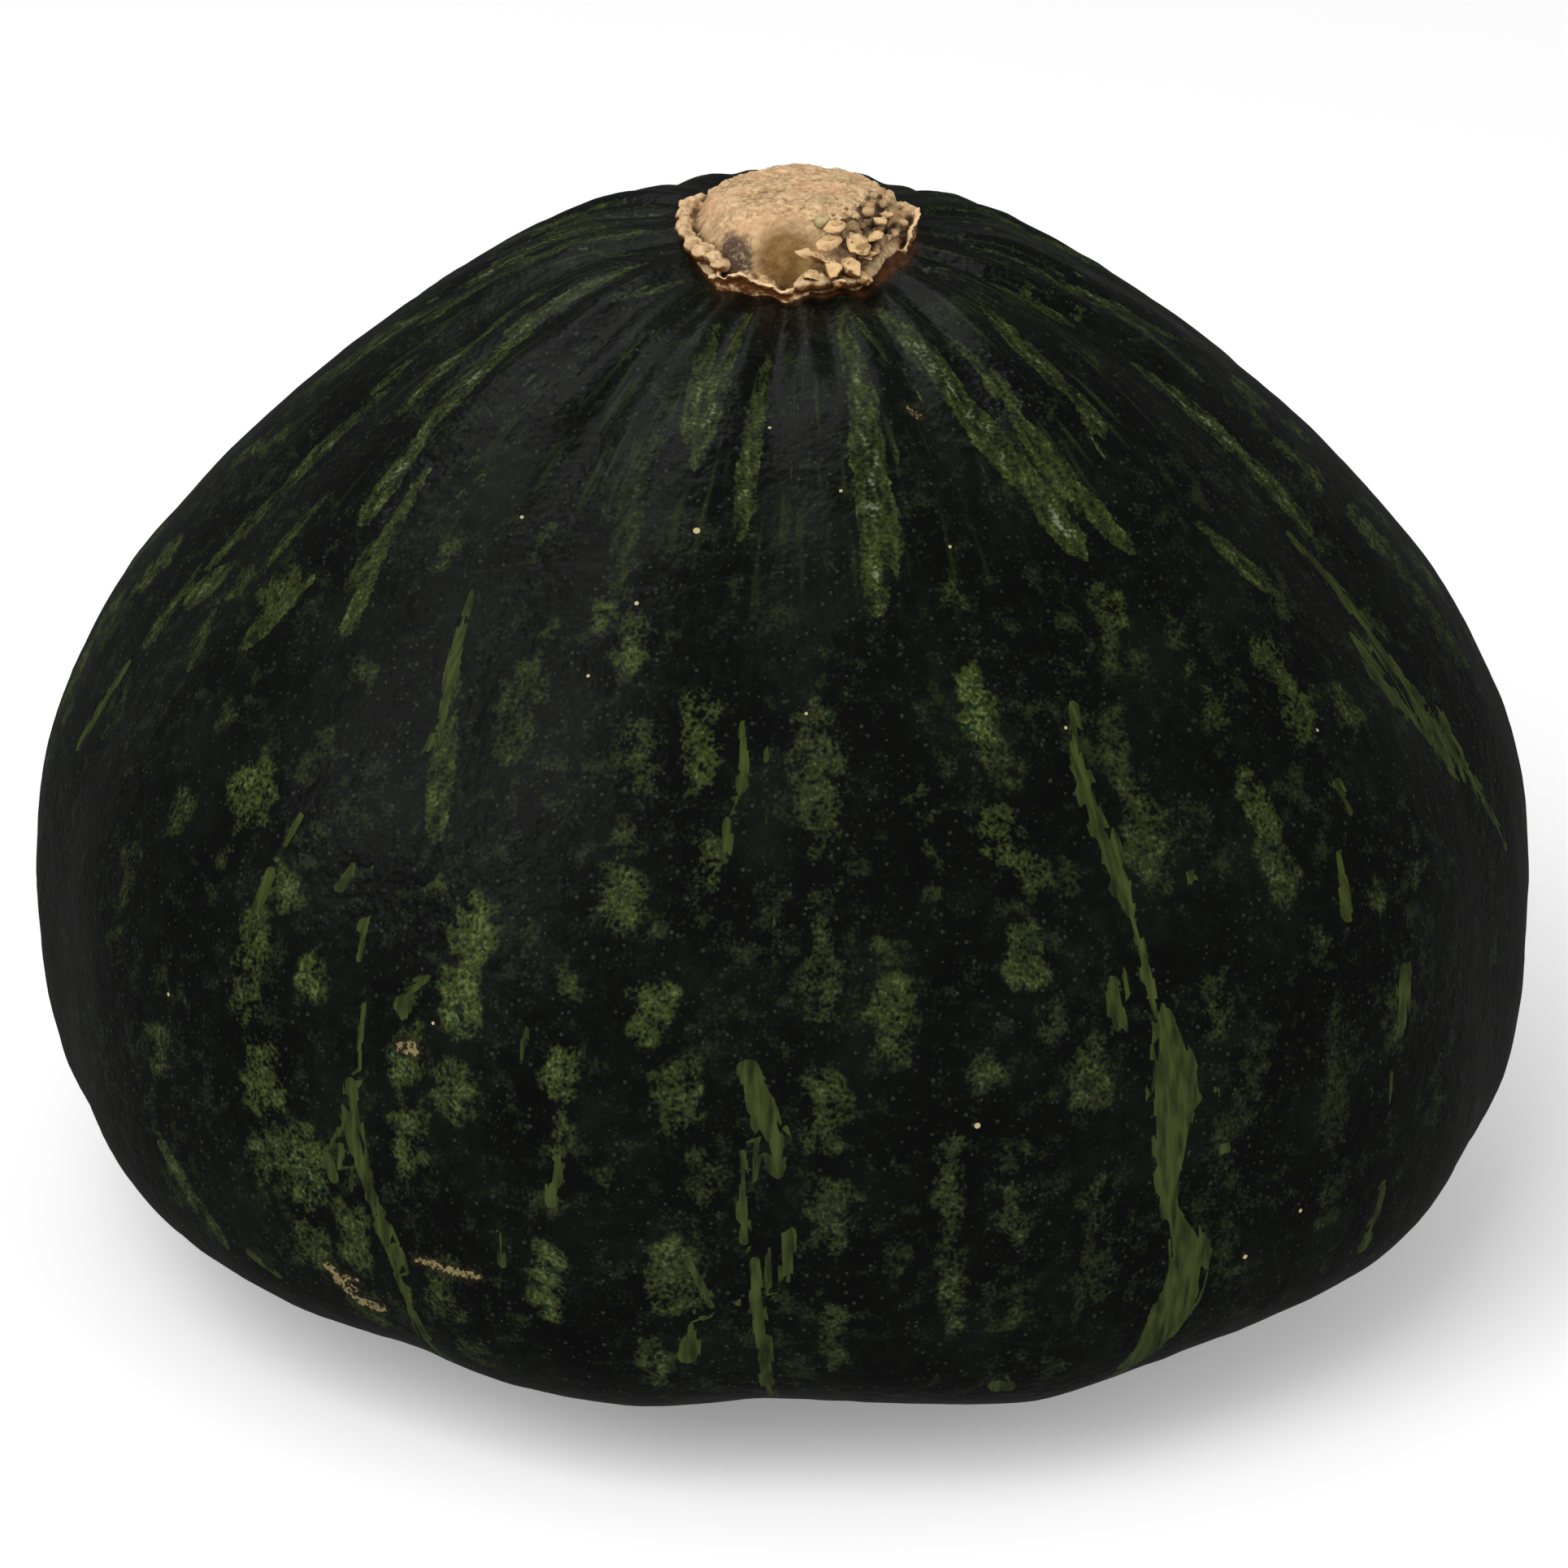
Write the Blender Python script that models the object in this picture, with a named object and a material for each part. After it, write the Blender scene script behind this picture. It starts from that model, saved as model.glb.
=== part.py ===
"""A whole kabocha squash with its dry, corky stem button, standing on its blossom end.

Units are metres and +Z is up. The origin is on the surface the squash stands on, under the
middle of the fruit. The front is -Y. Two pieces are made: the fruit, one solid, and the corky
button that the broken stem leaves on top of it.

The fruit is a turned half profile that is pushed in along its furrows and out where a lobe is
fuller. A place on its skin is given by two numbers: along, from 0 at the stem to 1 at the
blossom end, and around, the angle in degrees from the front, positive towards +X.
"""

import bmesh
import bpy
import numpy as np

MM = 0.001

# The fruit's half profile: (radius, height) in millimetres, from the stem to the blossom end.
PROFILE = (
    (0.0, 127.9),
    (14.5, 127.3),
    (28.0, 125.4),
    (43.0, 117.7),
    (58.0, 105.0),
    (72.0, 90.2),
    (83.0, 75.1),
    (90.3, 55.0),
    (89.3, 24.5),
    (76.5, 10.2),
    (46.0, 3.2),
    (34.0, -1.8),
    (0.0, -4.2),
)
FRUIT_RINGS = 42
SECTORS = 80

# Furrows run from the stem to the blossom end, at these angles from the front.
FURROW_ANGLES = (-145.0, -110.0, -74.0, -33.0, -2.4, 28.3, 69.0, 109.0, 145.0, 180.0)
FURROW_DEPTH = 2.2
FURROW_HALF_WIDTH = 9.0

# The fruit isn't quite round: (waves around the fruit, phase in degrees, height in millimetres).
OUT_OF_ROUND = ((2, -91.5, 0.77), (3, -21.0, 0.37))

# Lobes that swell or sink: (millimetres, along, length, around in degrees, width in degrees).
SWELLS = (
    (2.95, 0.72, 0.12, -18.3, 24.0),
    (3.0, 0.69, 0.10, 24.0, 12.0),
    (1.1, 0.66, 0.10, 62.0, 16.0),
    (-3.5, 0.16, 0.09, 156.0, 70.0),
)

# The crown leans towards the front, and the fruit's core bows a little to one side.
CROWN_TILT = 0.14
CROWN_RADIUS = 33.6
CORE_BOW = 1.6
MID_HEIGHT = 62.5

# The foot: the fruit's own weight has pressed it flat, with a dimple at the blossom scar.
FOOT_ROUNDING = 1.5
SCAR_RADIUS = 9.0
SCAR_DEPTH = 1.4

# The stem button: its five-cornered outline, its gap to the skin, and its section as pairs of
# (share of the outline's radius, height over its seat in millimetres).
STEM_RADIUS = 13.5
STEM_FRONT_REACH = 3.0
STEM_CORNER_REACH = 0.4
STEM_CORNERS = 5
STEM_GAP = 0.35
STEM_SECTION = (
    (1.00, 0.0),
    (1.02, 0.7),
    (1.00, 1.5),
    (0.94, 2.0),
    (0.86, 2.2),
    (0.80, 2.7),
    (0.72, 3.4),
    (0.58, 4.0),
    (0.40, 4.3),
    (0.20, 4.4),
)
STEM_UNDERSIDE_RINGS = 4


def smooth_curve(knots, steps):
    """Points along a Catmull-Rom curve through the knots."""
    knots = np.asarray(knots, dtype=float)
    ends = 2 * knots[0] - knots[1], 2 * knots[-1] - knots[-2]
    padded = np.vstack([ends[0], knots, ends[1]])
    share = np.linspace(0.0, 1.0, steps, endpoint=False)[:, None]
    pieces = []
    for index in range(1, len(padded) - 2):
        before, start, end, after = padded[index - 1:index + 3]
        linear = (end - before) * share
        square = (2 * before - 5 * start + 4 * end - after) * share ** 2
        cubic = (3 * start - before - 3 * end + after) * share ** 3
        pieces.append(0.5 * (2 * start + linear + square + cubic))
    pieces.append(knots[-1:])
    return np.vstack(pieces)


def even_steps(points, count):
    """The same curve with its points evenly spaced along its length, and that length."""
    lengths = np.linalg.norm(np.diff(points, axis=0), axis=1)
    run = np.concatenate([[0.0], np.cumsum(lengths)])
    places = np.linspace(0.0, run[-1], count)
    columns = [np.interp(places, run, points[:, axis]) for axis in range(2)]
    return np.stack(columns, axis=1), run[-1]


PROFILE_CURVE, PROFILE_LENGTH = even_steps(smooth_curve(PROFILE, 24), 400)
PROFILE_ALONG = np.linspace(0.0, 1.0, len(PROFILE_CURVE))


def angle_apart(around, angle):
    """How far two directions around the fruit are apart, in degrees, as a straight chord."""
    return np.degrees(2 * np.sin(np.radians(around - angle) / 2))


def smooth_max(value, floor, rounding):
    """The larger of two numbers, with the corner between them rounded."""
    overlap = np.maximum(rounding - np.abs(value - floor), 0.0) / rounding
    return np.maximum(value, floor) + overlap ** 3 * rounding / 6


def skin_push(along, around):
    """How far the skin stands out from the turned profile, in millimetres."""
    push = np.zeros(np.broadcast(along, around).shape)
    for angle in FURROW_ANGLES:
        push -= FURROW_DEPTH / (1 + (angle_apart(around, angle) / FURROW_HALF_WIDTH) ** 2)
    for waves, phase, height in OUT_OF_ROUND:
        push += height * np.sin(np.radians(waves * around + phase))
    push *= np.sqrt(np.sin(np.pi * along))
    for height, middle, length, angle, width in SWELLS:
        lengthways = np.exp(-((along - middle) / length) ** 2)
        push += height * lengthways * np.exp(-(angle_apart(around, angle) / width) ** 2)
    return push


def skin_point(along, around):
    """Points on the fruit's skin, in millimetres."""
    radius = np.interp(along, PROFILE_ALONG, PROFILE_CURVE[:, 0])
    height = np.interp(along, PROFILE_ALONG, PROFILE_CURVE[:, 1])
    slope = np.gradient(PROFILE_CURVE, axis=0)
    slope /= np.linalg.norm(slope, axis=1)[:, None]
    outward = -np.interp(along, PROFILE_ALONG, slope[:, 1])
    upward = np.interp(along, PROFILE_ALONG, slope[:, 0])
    push = skin_push(along, around)
    radius = radius + outward * push
    height = height + upward * push

    turn = np.radians(around)
    x = radius * np.sin(turn)
    y = -radius * np.cos(turn)
    crown = np.exp(-(radius / CROWN_RADIUS) ** 2) * (height > MID_HEIGHT)
    height = height + crown * CROWN_TILT * y
    dimple = np.maximum(0.0, 1 - (radius / SCAR_RADIUS) ** 2) ** 2 * (height < MID_HEIGHT)
    height = smooth_max(height, 0.0, FOOT_ROUNDING) + SCAR_DEPTH * dimple
    x = x + CORE_BOW * np.abs(height / MID_HEIGHT - 1) ** 3
    return np.stack([x, y, height], axis=-1)


def closed_solid(name, first_pole, rings, last_pole, origin):
    """An object skinned over closed rings of points, with a fan of triangles at each pole."""
    mesh = bpy.data.meshes.new(name)
    shell = bmesh.new()
    loops = [[shell.verts.new((point - origin) * MM) for point in ring] for ring in rings]
    count = len(loops[0])
    first = shell.verts.new((first_pole - origin) * MM)
    last = shell.verts.new((last_pole - origin) * MM)
    for index in range(count):
        follower = (index + 1) % count
        shell.faces.new((first, loops[0][index], loops[0][follower]))
        shell.faces.new((last, loops[-1][follower], loops[-1][index]))
        for upper, lower in zip(loops, loops[1:]):
            shell.faces.new((upper[index], lower[index], lower[follower], upper[follower]))
    bmesh.ops.recalc_face_normals(shell, faces=shell.faces)
    shell.to_mesh(mesh)
    shell.free()
    mesh.shade_smooth()
    solid = bpy.data.objects.new(name, mesh)
    solid.location = origin * MM
    bpy.context.collection.objects.link(solid)
    return solid


def make_material(name, color, roughness):
    """A plain Principled material."""
    material = bpy.data.materials.new(name)
    material.use_nodes = True
    shader = material.node_tree.nodes["Principled BSDF"]
    shader.inputs["Base Color"].default_value = (*color, 1.0)
    shader.inputs["Roughness"].default_value = roughness
    shader.inputs["Metallic"].default_value = 0.0
    return material


def around_angles():
    """The directions of the points on every ring, in degrees."""
    return np.linspace(-180.0, 180.0, SECTORS, endpoint=False)


def make_fruit():
    """The fruit: rings of skin from the stem down to the blossom scar."""
    around = around_angles()
    steps = np.linspace(0.0, 1.0, FRUIT_RINGS + 2)
    rings = [skin_point(np.full(SECTORS, along), around) for along in steps[1:-1]]
    top = skin_point(0.0, 0.0)
    bottom = skin_point(1.0, 0.0)
    fruit = closed_solid("squash_fruit", top, rings, bottom, np.zeros(3))
    fruit.data.materials.append(make_material("rind", (0.012, 0.016, 0.010), 0.42))
    return fruit


def make_stem():
    """The corky button: its underside follows the skin, and its top is a smooth low dome."""
    around = around_angles()
    turn = np.radians(around)
    outline = STEM_RADIUS + STEM_FRONT_REACH * np.cos(turn)
    outline -= STEM_CORNER_REACH * np.cos(STEM_CORNERS * turn)
    dome_height = STEM_SECTION[-1][1]

    def ring(share, height):
        points = skin_point(share * outline / PROFILE_LENGTH, around)
        levelness = height / dome_height
        points[:, 2] += levelness * (PROFILE[0][1] - points[:, 2]) + height + STEM_GAP
        return points

    rings = [ring(share, height) for share, height in reversed(STEM_SECTION)]
    for step in range(STEM_UNDERSIDE_RINGS, 0, -1):
        rings.append(ring(step / (STEM_UNDERSIDE_RINGS + 1), 0.0))
    seat = skin_point(0.0, 0.0) + np.array([0.0, 0.0, STEM_GAP])
    top = seat + np.array([0.0, 0.0, dome_height])
    stem = closed_solid("corky_stem", top, rings, seat, seat)
    stem.data.materials.append(make_material("cork", (0.50, 0.33, 0.19), 0.85))
    return stem


def main():
    for leftover in list(bpy.data.objects):
        bpy.data.objects.remove(leftover, do_unlink=True)
    fruit = make_fruit()
    stem = make_stem()
    squash = bpy.data.objects.new("squash", None)
    bpy.context.collection.objects.link(squash)
    fruit.parent = squash
    stem.parent = squash


main()
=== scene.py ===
# %% [markdown]
# # A kabocha squash
#
# A kabocha is a squat winter squash: a near-black green rind with shallow furrows, paler
# mottled stripes that run out from the stem, a scatter of green blotches lower down, and on
# top the dry corky button where the stem broke off. The construction model is already there
# as a fixed frame, at its real size, so this lesson grows a finer skin and a finer button in
# the same places. It works in millimetres, and each piece becomes metres in its last nodes.

# %% Load the fixed frame
import math

import bmesh
import bpy
import numpy as np
from mathutils import Euler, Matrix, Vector
from mathutils.bvhtree import BVHTree
from mathutils.kdtree import KDTree


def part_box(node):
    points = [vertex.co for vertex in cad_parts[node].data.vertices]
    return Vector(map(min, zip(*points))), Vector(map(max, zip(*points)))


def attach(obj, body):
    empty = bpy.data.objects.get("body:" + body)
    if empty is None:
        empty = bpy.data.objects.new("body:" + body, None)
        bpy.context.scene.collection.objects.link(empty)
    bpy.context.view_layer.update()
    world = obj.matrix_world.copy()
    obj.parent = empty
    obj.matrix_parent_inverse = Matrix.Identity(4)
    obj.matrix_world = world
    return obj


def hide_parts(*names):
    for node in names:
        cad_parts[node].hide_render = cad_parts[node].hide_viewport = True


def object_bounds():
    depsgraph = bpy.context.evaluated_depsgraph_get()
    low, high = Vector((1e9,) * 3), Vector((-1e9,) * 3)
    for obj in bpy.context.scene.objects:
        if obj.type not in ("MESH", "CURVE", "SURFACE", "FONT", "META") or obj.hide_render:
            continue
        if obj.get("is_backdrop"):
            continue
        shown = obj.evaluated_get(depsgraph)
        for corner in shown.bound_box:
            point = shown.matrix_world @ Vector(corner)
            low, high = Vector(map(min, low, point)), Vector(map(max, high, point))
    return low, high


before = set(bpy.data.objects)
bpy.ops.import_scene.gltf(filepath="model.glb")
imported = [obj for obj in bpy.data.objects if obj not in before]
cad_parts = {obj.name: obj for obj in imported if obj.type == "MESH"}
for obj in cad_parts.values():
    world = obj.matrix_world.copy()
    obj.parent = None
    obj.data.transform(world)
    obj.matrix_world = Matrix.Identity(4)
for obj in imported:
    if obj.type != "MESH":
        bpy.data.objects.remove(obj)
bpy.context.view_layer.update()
MM = 0.001
fruit_low, fruit_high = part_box("squash_fruit")
stem_low, stem_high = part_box("corky_stem")
print("fruit", [round(size / MM, 1) for size in fruit_high - fruit_low], "mm")
print("stem", [round(size / MM, 1) for size in stem_high - stem_low], "mm")

# %% [markdown]
# ## The camera
#
# A whole squash is usually pictured from a little above, from far away with a long lens, so
# that it keeps its true proportions. A short lens close by would swell the front of it. The
# camera is made first, because it settles which side of the fruit gets the closest attention.

# %% Camera
VIEW_ELEVATION = math.radians(24.0)
VIEW_DISTANCE = 0.9
LENS = 169.9
AIM_HEIGHT = 0.0549


def add_object(name, data):
    """A new object in the scene, for a mesh, a camera or a lamp."""
    thing = bpy.data.objects.new(name, data)
    bpy.context.collection.objects.link(thing)
    return thing


aim = Vector((0.0, 0.0, AIM_HEIGHT))
reach = Vector((0.0, -math.cos(VIEW_ELEVATION), math.sin(VIEW_ELEVATION))) * VIEW_DISTANCE
lens = bpy.data.cameras.new("camera")
lens.lens = LENS
lens.sensor_width = 36.0
lens.clip_start = 0.05
camera = add_object("camera", lens)
camera.location = aim + reach
camera.rotation_euler = (-reach).to_track_quat("-Z", "Y").to_euler()
bpy.context.scene.camera = camera
print("camera at", [round(value, 3) for value in camera.location])

# %% [markdown]
# ## Node trees as expressions
#
# Both the shapes and the finishes below are node trees. Wiring them one link at a time hides
# the sums in them, so a small class wraps a socket and lets Python's own operators add the
# Math nodes. Every other kind of node comes from one method, which sets its settings first
# and then fills its sockets with numbers or with wires from other nodes. Noise is asked for
# by the size of its lumps in millimetres, and each seed looks at it from its own far place.

# %% A socket with arithmetic
class Wire:
    """One output socket. Arithmetic on it adds Math nodes to its tree."""

    def __init__(self, graph, node, socket):
        self.graph = graph
        self.node = node
        self.socket = socket

    def __getitem__(self, output):
        return Wire(self.graph, self.node, self.node.outputs[output])

    def __gt__(self, other):
        return self.graph.math("GREATER_THAN", self, other)


def add_operator(name, operation):
    """Give Wire one operator, and its reflected form for a number that stands on the left."""
    def direct(wire, other):
        return wire.graph.math(operation, wire, other)

    def reflected(wire, other):
        return wire.graph.math(operation, other, wire)

    setattr(Wire, f"__{name}__", direct)
    setattr(Wire, f"__r{name}__", reflected)


OPERATORS = {"add": "ADD", "sub": "SUBTRACT", "mul": "MULTIPLY", "truediv": "DIVIDE", "pow": "POWER"}
for name, operation in OPERATORS.items():
    add_operator(name, operation)
print("a wire knows", ", ".join(OPERATORS))

# %% A tree that makes nodes
# Noise swings this much, and two seeds lie this many millimetres apart.
NOISE_SPREAD = 3.0
SEED_STRIDE = 137.0


class Graph:
    """A node tree written as expressions."""

    def __init__(self, tree):
        self.tree = tree

    def node(self, kind, settings=None, inputs=None, output=0):
        """Any node: its settings first, then the values or wires of its sockets."""
        node = self.tree.nodes.new(kind)
        for name, value in (settings or {}).items():
            setattr(node, name, value)
        for key, value in (inputs or {}).items():
            if isinstance(value, Wire):
                self.tree.links.new(value.socket, node.inputs[key])
            else:
                node.inputs[key].default_value = value
        outputs = node.outputs
        return Wire(self, node, outputs[output] if len(outputs) else None)

    def math(self, operation, *values):
        return self.node("ShaderNodeMath", {"operation": operation}, dict(enumerate(values)))

    def vector(self, x, y, z):
        return self.node("ShaderNodeCombineXYZ", None, {0: x, 1: y, 2: z})

    def parts(self, vector):
        """The three numbers of a vector, as X, Y and Z."""
        return self.node("ShaderNodeSeparateXYZ", None, {0: vector})

    def channels(self, colour):
        """The three numbers of a colour, as Red, Green and Blue."""
        return self.node("ShaderNodeSeparateColor", None, {0: colour})

    def stored(self, name, part="Fac"):
        """A value that the mesh keeps for each point."""
        return self.node("ShaderNodeAttribute", {"attribute_name": name}, None, part)

    def stretch(self, vector, scales):
        """A vector with each of its parts multiplied."""
        return self.node("ShaderNodeVectorMath", {"operation": "MULTIPLY"}, {0: vector, 1: scales})

    def clouds(self, vector, size, detail, seed, roughness=0.5):
        """A noise texture whose lumps have one size in millimetres, from its own far place."""
        far = seed * SEED_STRIDE
        moved = self.node("ShaderNodeVectorMath", None, {0: vector, 1: self.vector(far, far, far)})
        inputs = {"Vector": moved, "Scale": 1 / size, "Detail": detail, "Roughness": roughness}
        return self.node("ShaderNodeTexNoise", None, inputs)

    def noise(self, vector, size, detail, seed, roughness=0.5):
        """Noise around zero, between about -1 and 1."""
        return (self.clouds(vector, size, detail, seed, roughness) - 0.5) * NOISE_SPREAD

    def three_noises(self, vector, size, detail, seed):
        """Three noises around zero in the parts of one vector."""
        colour = self.clouds(vector, size, detail, seed)["Color"]
        settings = {"operation": "MULTIPLY_ADD"}
        inputs = {0: colour, 1: (NOISE_SPREAD,) * 3, 2: (-0.5 * NOISE_SPREAD,) * 3}
        return self.node("ShaderNodeVectorMath", settings, inputs)

    def cells(self, vector, size, **inputs):
        """A Voronoi pattern with cells of one size in millimetres."""
        inputs = {"Vector": vector, "Scale": 1 / size, **inputs}
        return self.node("ShaderNodeTexVoronoi", None, inputs)

    def step(self, value, low, high):
        """0 below low, 1 above high, and a smooth rise between them."""
        settings = {"interpolation_type": "SMOOTHSTEP"}
        return self.node("ShaderNodeMapRange", settings, {"Value": value, 1: low, 2: high})

    def mix(self, factor, first, second):
        """A colour between two colours. The node's colours are its sockets 6, 7 and 2."""
        return self.node("ShaderNodeMix", {"data_type": "RGBA"}, {0: factor, 6: first, 7: second}, 2)


print("a graph makes nodes, noise, cells and mixes")

# %% The first and last nodes of every tree
def finish_shader(material):
    """A cleared material tree, ready for expressions."""
    material.use_nodes = True
    material.node_tree.nodes.clear()
    return Graph(material.node_tree)


def end_finish(graph, inputs):
    """The last nodes of every finish: one Principled shader and the output."""
    shader = graph.node("ShaderNodeBsdfPrincipled", None, inputs)
    graph.node("ShaderNodeOutputMaterial", None, {0: shader})


def growth(name, sizes):
    """A geometry tree with one named input for each size, and the wires of those inputs."""
    tree = bpy.data.node_groups.new(name, "GeometryNodeTree")
    tree.interface.new_socket("Geometry", in_out="OUTPUT", socket_type="NodeSocketGeometry")
    tree.interface.new_socket("Geometry", in_out="INPUT", socket_type="NodeSocketGeometry")
    for label, value in sizes.items():
        kind = "NodeSocketInt" if isinstance(value, int) else "NodeSocketFloat"
        tree.interface.new_socket(label, in_out="INPUT", socket_type=kind)
    graph = Graph(tree)
    entry = graph.node("NodeGroupInput")
    return graph, entry


def end_growth(graph, mesh, material):
    """The last nodes of every geometry tree: real faces, smooth, with their material."""
    real = graph.node("GeometryNodeRealizeInstances", None, {"Geometry": mesh})
    smooth = graph.node("GeometryNodeSetShadeSmooth", None, {"Geometry": real})
    painted = graph.node("GeometryNodeSetMaterial", None, {"Geometry": smooth, "Material": material})
    graph.node("NodeGroupOutput", None, {0: painted})


def grow(name, graph, sizes, seed_mesh):
    """Run a geometry tree on a mesh and keep its result as a plain mesh object."""
    piece = add_object(name, seed_mesh)
    modifier = piece.modifiers.new("growth", "NODES")
    modifier.node_group = graph.tree
    for socket in graph.tree.interface.items_tree:
        if socket.in_out == "INPUT" and socket.name in sizes:
            modifier[socket.identifier] = sizes[socket.name]
    depsgraph = bpy.context.evaluated_depsgraph_get()
    grown = bpy.data.meshes.new_from_object(piece.evaluated_get(depsgraph))
    piece.modifiers.remove(modifier)
    piece.data = grown
    print(name, len(grown.vertices), "points,", len(grown.polygons), "faces")
    return piece


print("trees can be begun, ended and grown")

# %% [markdown]
# ## The half profile
#
# Cut a squash from stem to blossom end and its outline is one smooth curve. Thirteen points
# are enough for it, joined by a Catmull-Rom curve, which passes through every point. They are
# the construction model's own points, so the fine skin lands where that model is.

# %% Half profile of the fruit
PROFILE = (
    (0.0, 127.9),
    (14.5, 127.3),
    (28.0, 125.4),
    (43.0, 117.7),
    (58.0, 105.0),
    (72.0, 90.2),
    (83.0, 75.1),
    (90.3, 55.0),
    (89.3, 24.5),
    (76.5, 10.2),
    (46.0, 3.2),
    (34.0, -1.8),
    (0.0, -4.2),
)
STEPS_PER_SPAN = 24


def smooth_curve(knots, steps):
    """Points along a Catmull-Rom curve through the knots."""
    knots = np.asarray(knots, dtype=float)
    padded = np.vstack([2 * knots[0] - knots[1], knots, 2 * knots[-1] - knots[-2]])
    share = np.linspace(0.0, 1.0, steps, endpoint=False)[:, None]
    pieces = []
    for index in range(1, len(padded) - 2):
        before, start, end, after = padded[index - 1:index + 3]
        linear = (end - before) * share
        square = (2 * before - 5 * start + 4 * end - after) * share ** 2
        cubic = (3 * start - before - 3 * end + after) * share ** 3
        pieces.append(0.5 * (2 * start + linear + square + cubic))
    return np.vstack(pieces + [knots[-1:]])


def polyline_mesh(name, points):
    """A mesh of one open line through the points."""
    mesh = bpy.data.meshes.new(name)
    edges = [(index, index + 1) for index in range(len(points) - 1)]
    mesh.from_pydata([tuple(point) for point in points], edges, [])
    return mesh


profile = smooth_curve(PROFILE, STEPS_PER_SPAN)
PROFILE_LENGTH = float(np.linalg.norm(np.diff(profile, axis=0), axis=1).sum())
profile_mesh = polyline_mesh("profile", [(radius, 0.0, height) for radius, height in profile])
print("profile", round(PROFILE_LENGTH, 1), "mm from stem to blossom end")

# %% [markdown]
# ## The skin's shape
#
# The fruit is that profile turned once round, then pushed in along ten furrows and out where
# a lobe is fuller. A lathe or a Screw modifier gives only the round body, and sculpting can't
# be repeated, so Geometry Nodes bend a flat grid instead: one way across the grid is the angle
# around the fruit, the other is the way along the profile. Each furrow is a small hill of the
# form depth / (1 + distance squared), and because that is a rule, ten furrows are one loop.
# Close to the stem the skin is pleated, and all over it has soft dents and small lumps. The
# tree also stores where each point lies on the skin, and two vectors of slow noises that the
# colours need later. A noise that changes over millimetres costs little here, once for each
# point, and much in a material, where every ray would work it out again.

# %% The rule for the skin
FURROW_ANGLES = (-145.0, -110.0, -74.0, -33.0, -2.4, 28.3, 69.0, 109.0, 145.0, 180.0)
# Waves round the fruit, their phase in degrees, and their height in millimetres.
OUT_OF_ROUND = ((2, -91.5, 0.77), (3, -21.0, 0.37))
# Height in millimetres, place along the profile and length, angle and width in degrees.
SWELLS = (
    (2.95, 0.72, 0.12, -18.3, 24.0),
    (3.0, 0.69, 0.10, 24.0, 12.0),
    (1.1, 0.66, 0.10, 62.0, 16.0),
    (-3.5, 0.16, 0.09, 156.0, 70.0),
)
SKIN_SIZES = {
    "Sectors": 450,
    "Rings": 208,
    "Furrow depth": 2.2,
    "Furrow half width": 9.0,
    "Crown tilt": 0.14,
    "Crown radius": 33.6,
    "Core bow": 1.6,
    "Mid height": 62.5,
    "Foot rounding": 1.5,
    "Scar radius": 9.0,
    "Scar depth": 1.4,
    "Pleats": 25,
    "Pleat depth": 1.6,
    "Dent depth": 0.45,
    "Lump height": 0.16,
    "Seed": 7,
}
# Pleats and the fade at the two poles: shares of the way along the profile.
PLEAT_PLACE = 0.13
PLEAT_LENGTH = 0.07
PLEAT_WANDER = 2.6
POLE_FADE = 0.01


def bell(distance, width):
    """1 in the middle, falling smoothly to 0 about two widths away."""
    return math.e ** ((distance / width) ** 2 * -1.0)


def chord(graph, around, angle):
    """How far two directions around the fruit are apart, in degrees, as a straight chord."""
    half_turn = (around - math.radians(angle)) / 2.0
    return graph.math("SINE", half_turn) * math.degrees(2.0)


def skin_push(graph, entry, along, around):
    """How far the skin stands out from the turned profile, in millimetres."""
    push = 0.0
    for angle in FURROW_ANGLES:
        distance = chord(graph, around, angle) / entry["Furrow half width"]
        push = push - entry["Furrow depth"] / (1.0 + distance * distance)
    for waves, phase, height in OUT_OF_ROUND:
        push = push + height * graph.math("SINE", around * waves + math.radians(phase))
    fade = graph.math("SQRT", graph.math("MAXIMUM", graph.math("SINE", along * math.pi), 0.0))
    push = push * fade
    for height, middle, length, angle, width in SWELLS:
        lengthways = bell(along - middle, length)
        push = push + lengthways * bell(chord(graph, around, angle), width) * height
    by_pole = graph.step(along, 1.0 - POLE_FADE, 1.0)
    return push * graph.step(along, 0.0, POLE_FADE) * (1.0 - by_pole)


def skin_detail(graph, entry, along, around, place):
    """Pleats by the stem, soft dents and small lumps, in millimetres."""
    wander = graph.noise(place, size=26.0, detail=1.0, seed=entry["Seed"])
    pleats = (graph.math("SINE", around * entry["Pleats"] + wander * PLEAT_WANDER) - 1.0) * 0.5
    uneven = graph.step(graph.noise(place, size=18.0, detail=1.0, seed=entry["Seed"] + 3.0), -1.0, 1.0)
    by_stem = bell(along - PLEAT_PLACE, PLEAT_LENGTH) * uneven
    dents = graph.noise(place, size=24.0, detail=1.0, seed=entry["Seed"] + 1.0)
    lumps = graph.noise(place, size=6.0, detail=2.0, seed=entry["Seed"] + 2.0)
    ends = graph.step(along, 0.02, 0.08) * (1.0 - graph.step(along, 0.88, 0.96))
    shape = pleats * by_stem * entry["Pleat depth"] + dents * entry["Dent depth"] * 0.5
    return (shape + lumps * entry["Lump height"]) * ends


print(len(FURROW_ANGLES), "furrows,", len(SWELLS), "swells")

# %% [markdown]
# The second half of the tree turns those numbers into places. The crown leans a little
# towards the front, the foot is pressed flat by the fruit's own weight, and the core bows to
# one side, as it does in any squash that ripened lying on the ground.

# %% The skin's tree
# Points closer than this, in metres, become one.
WELD = 2e-6


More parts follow.
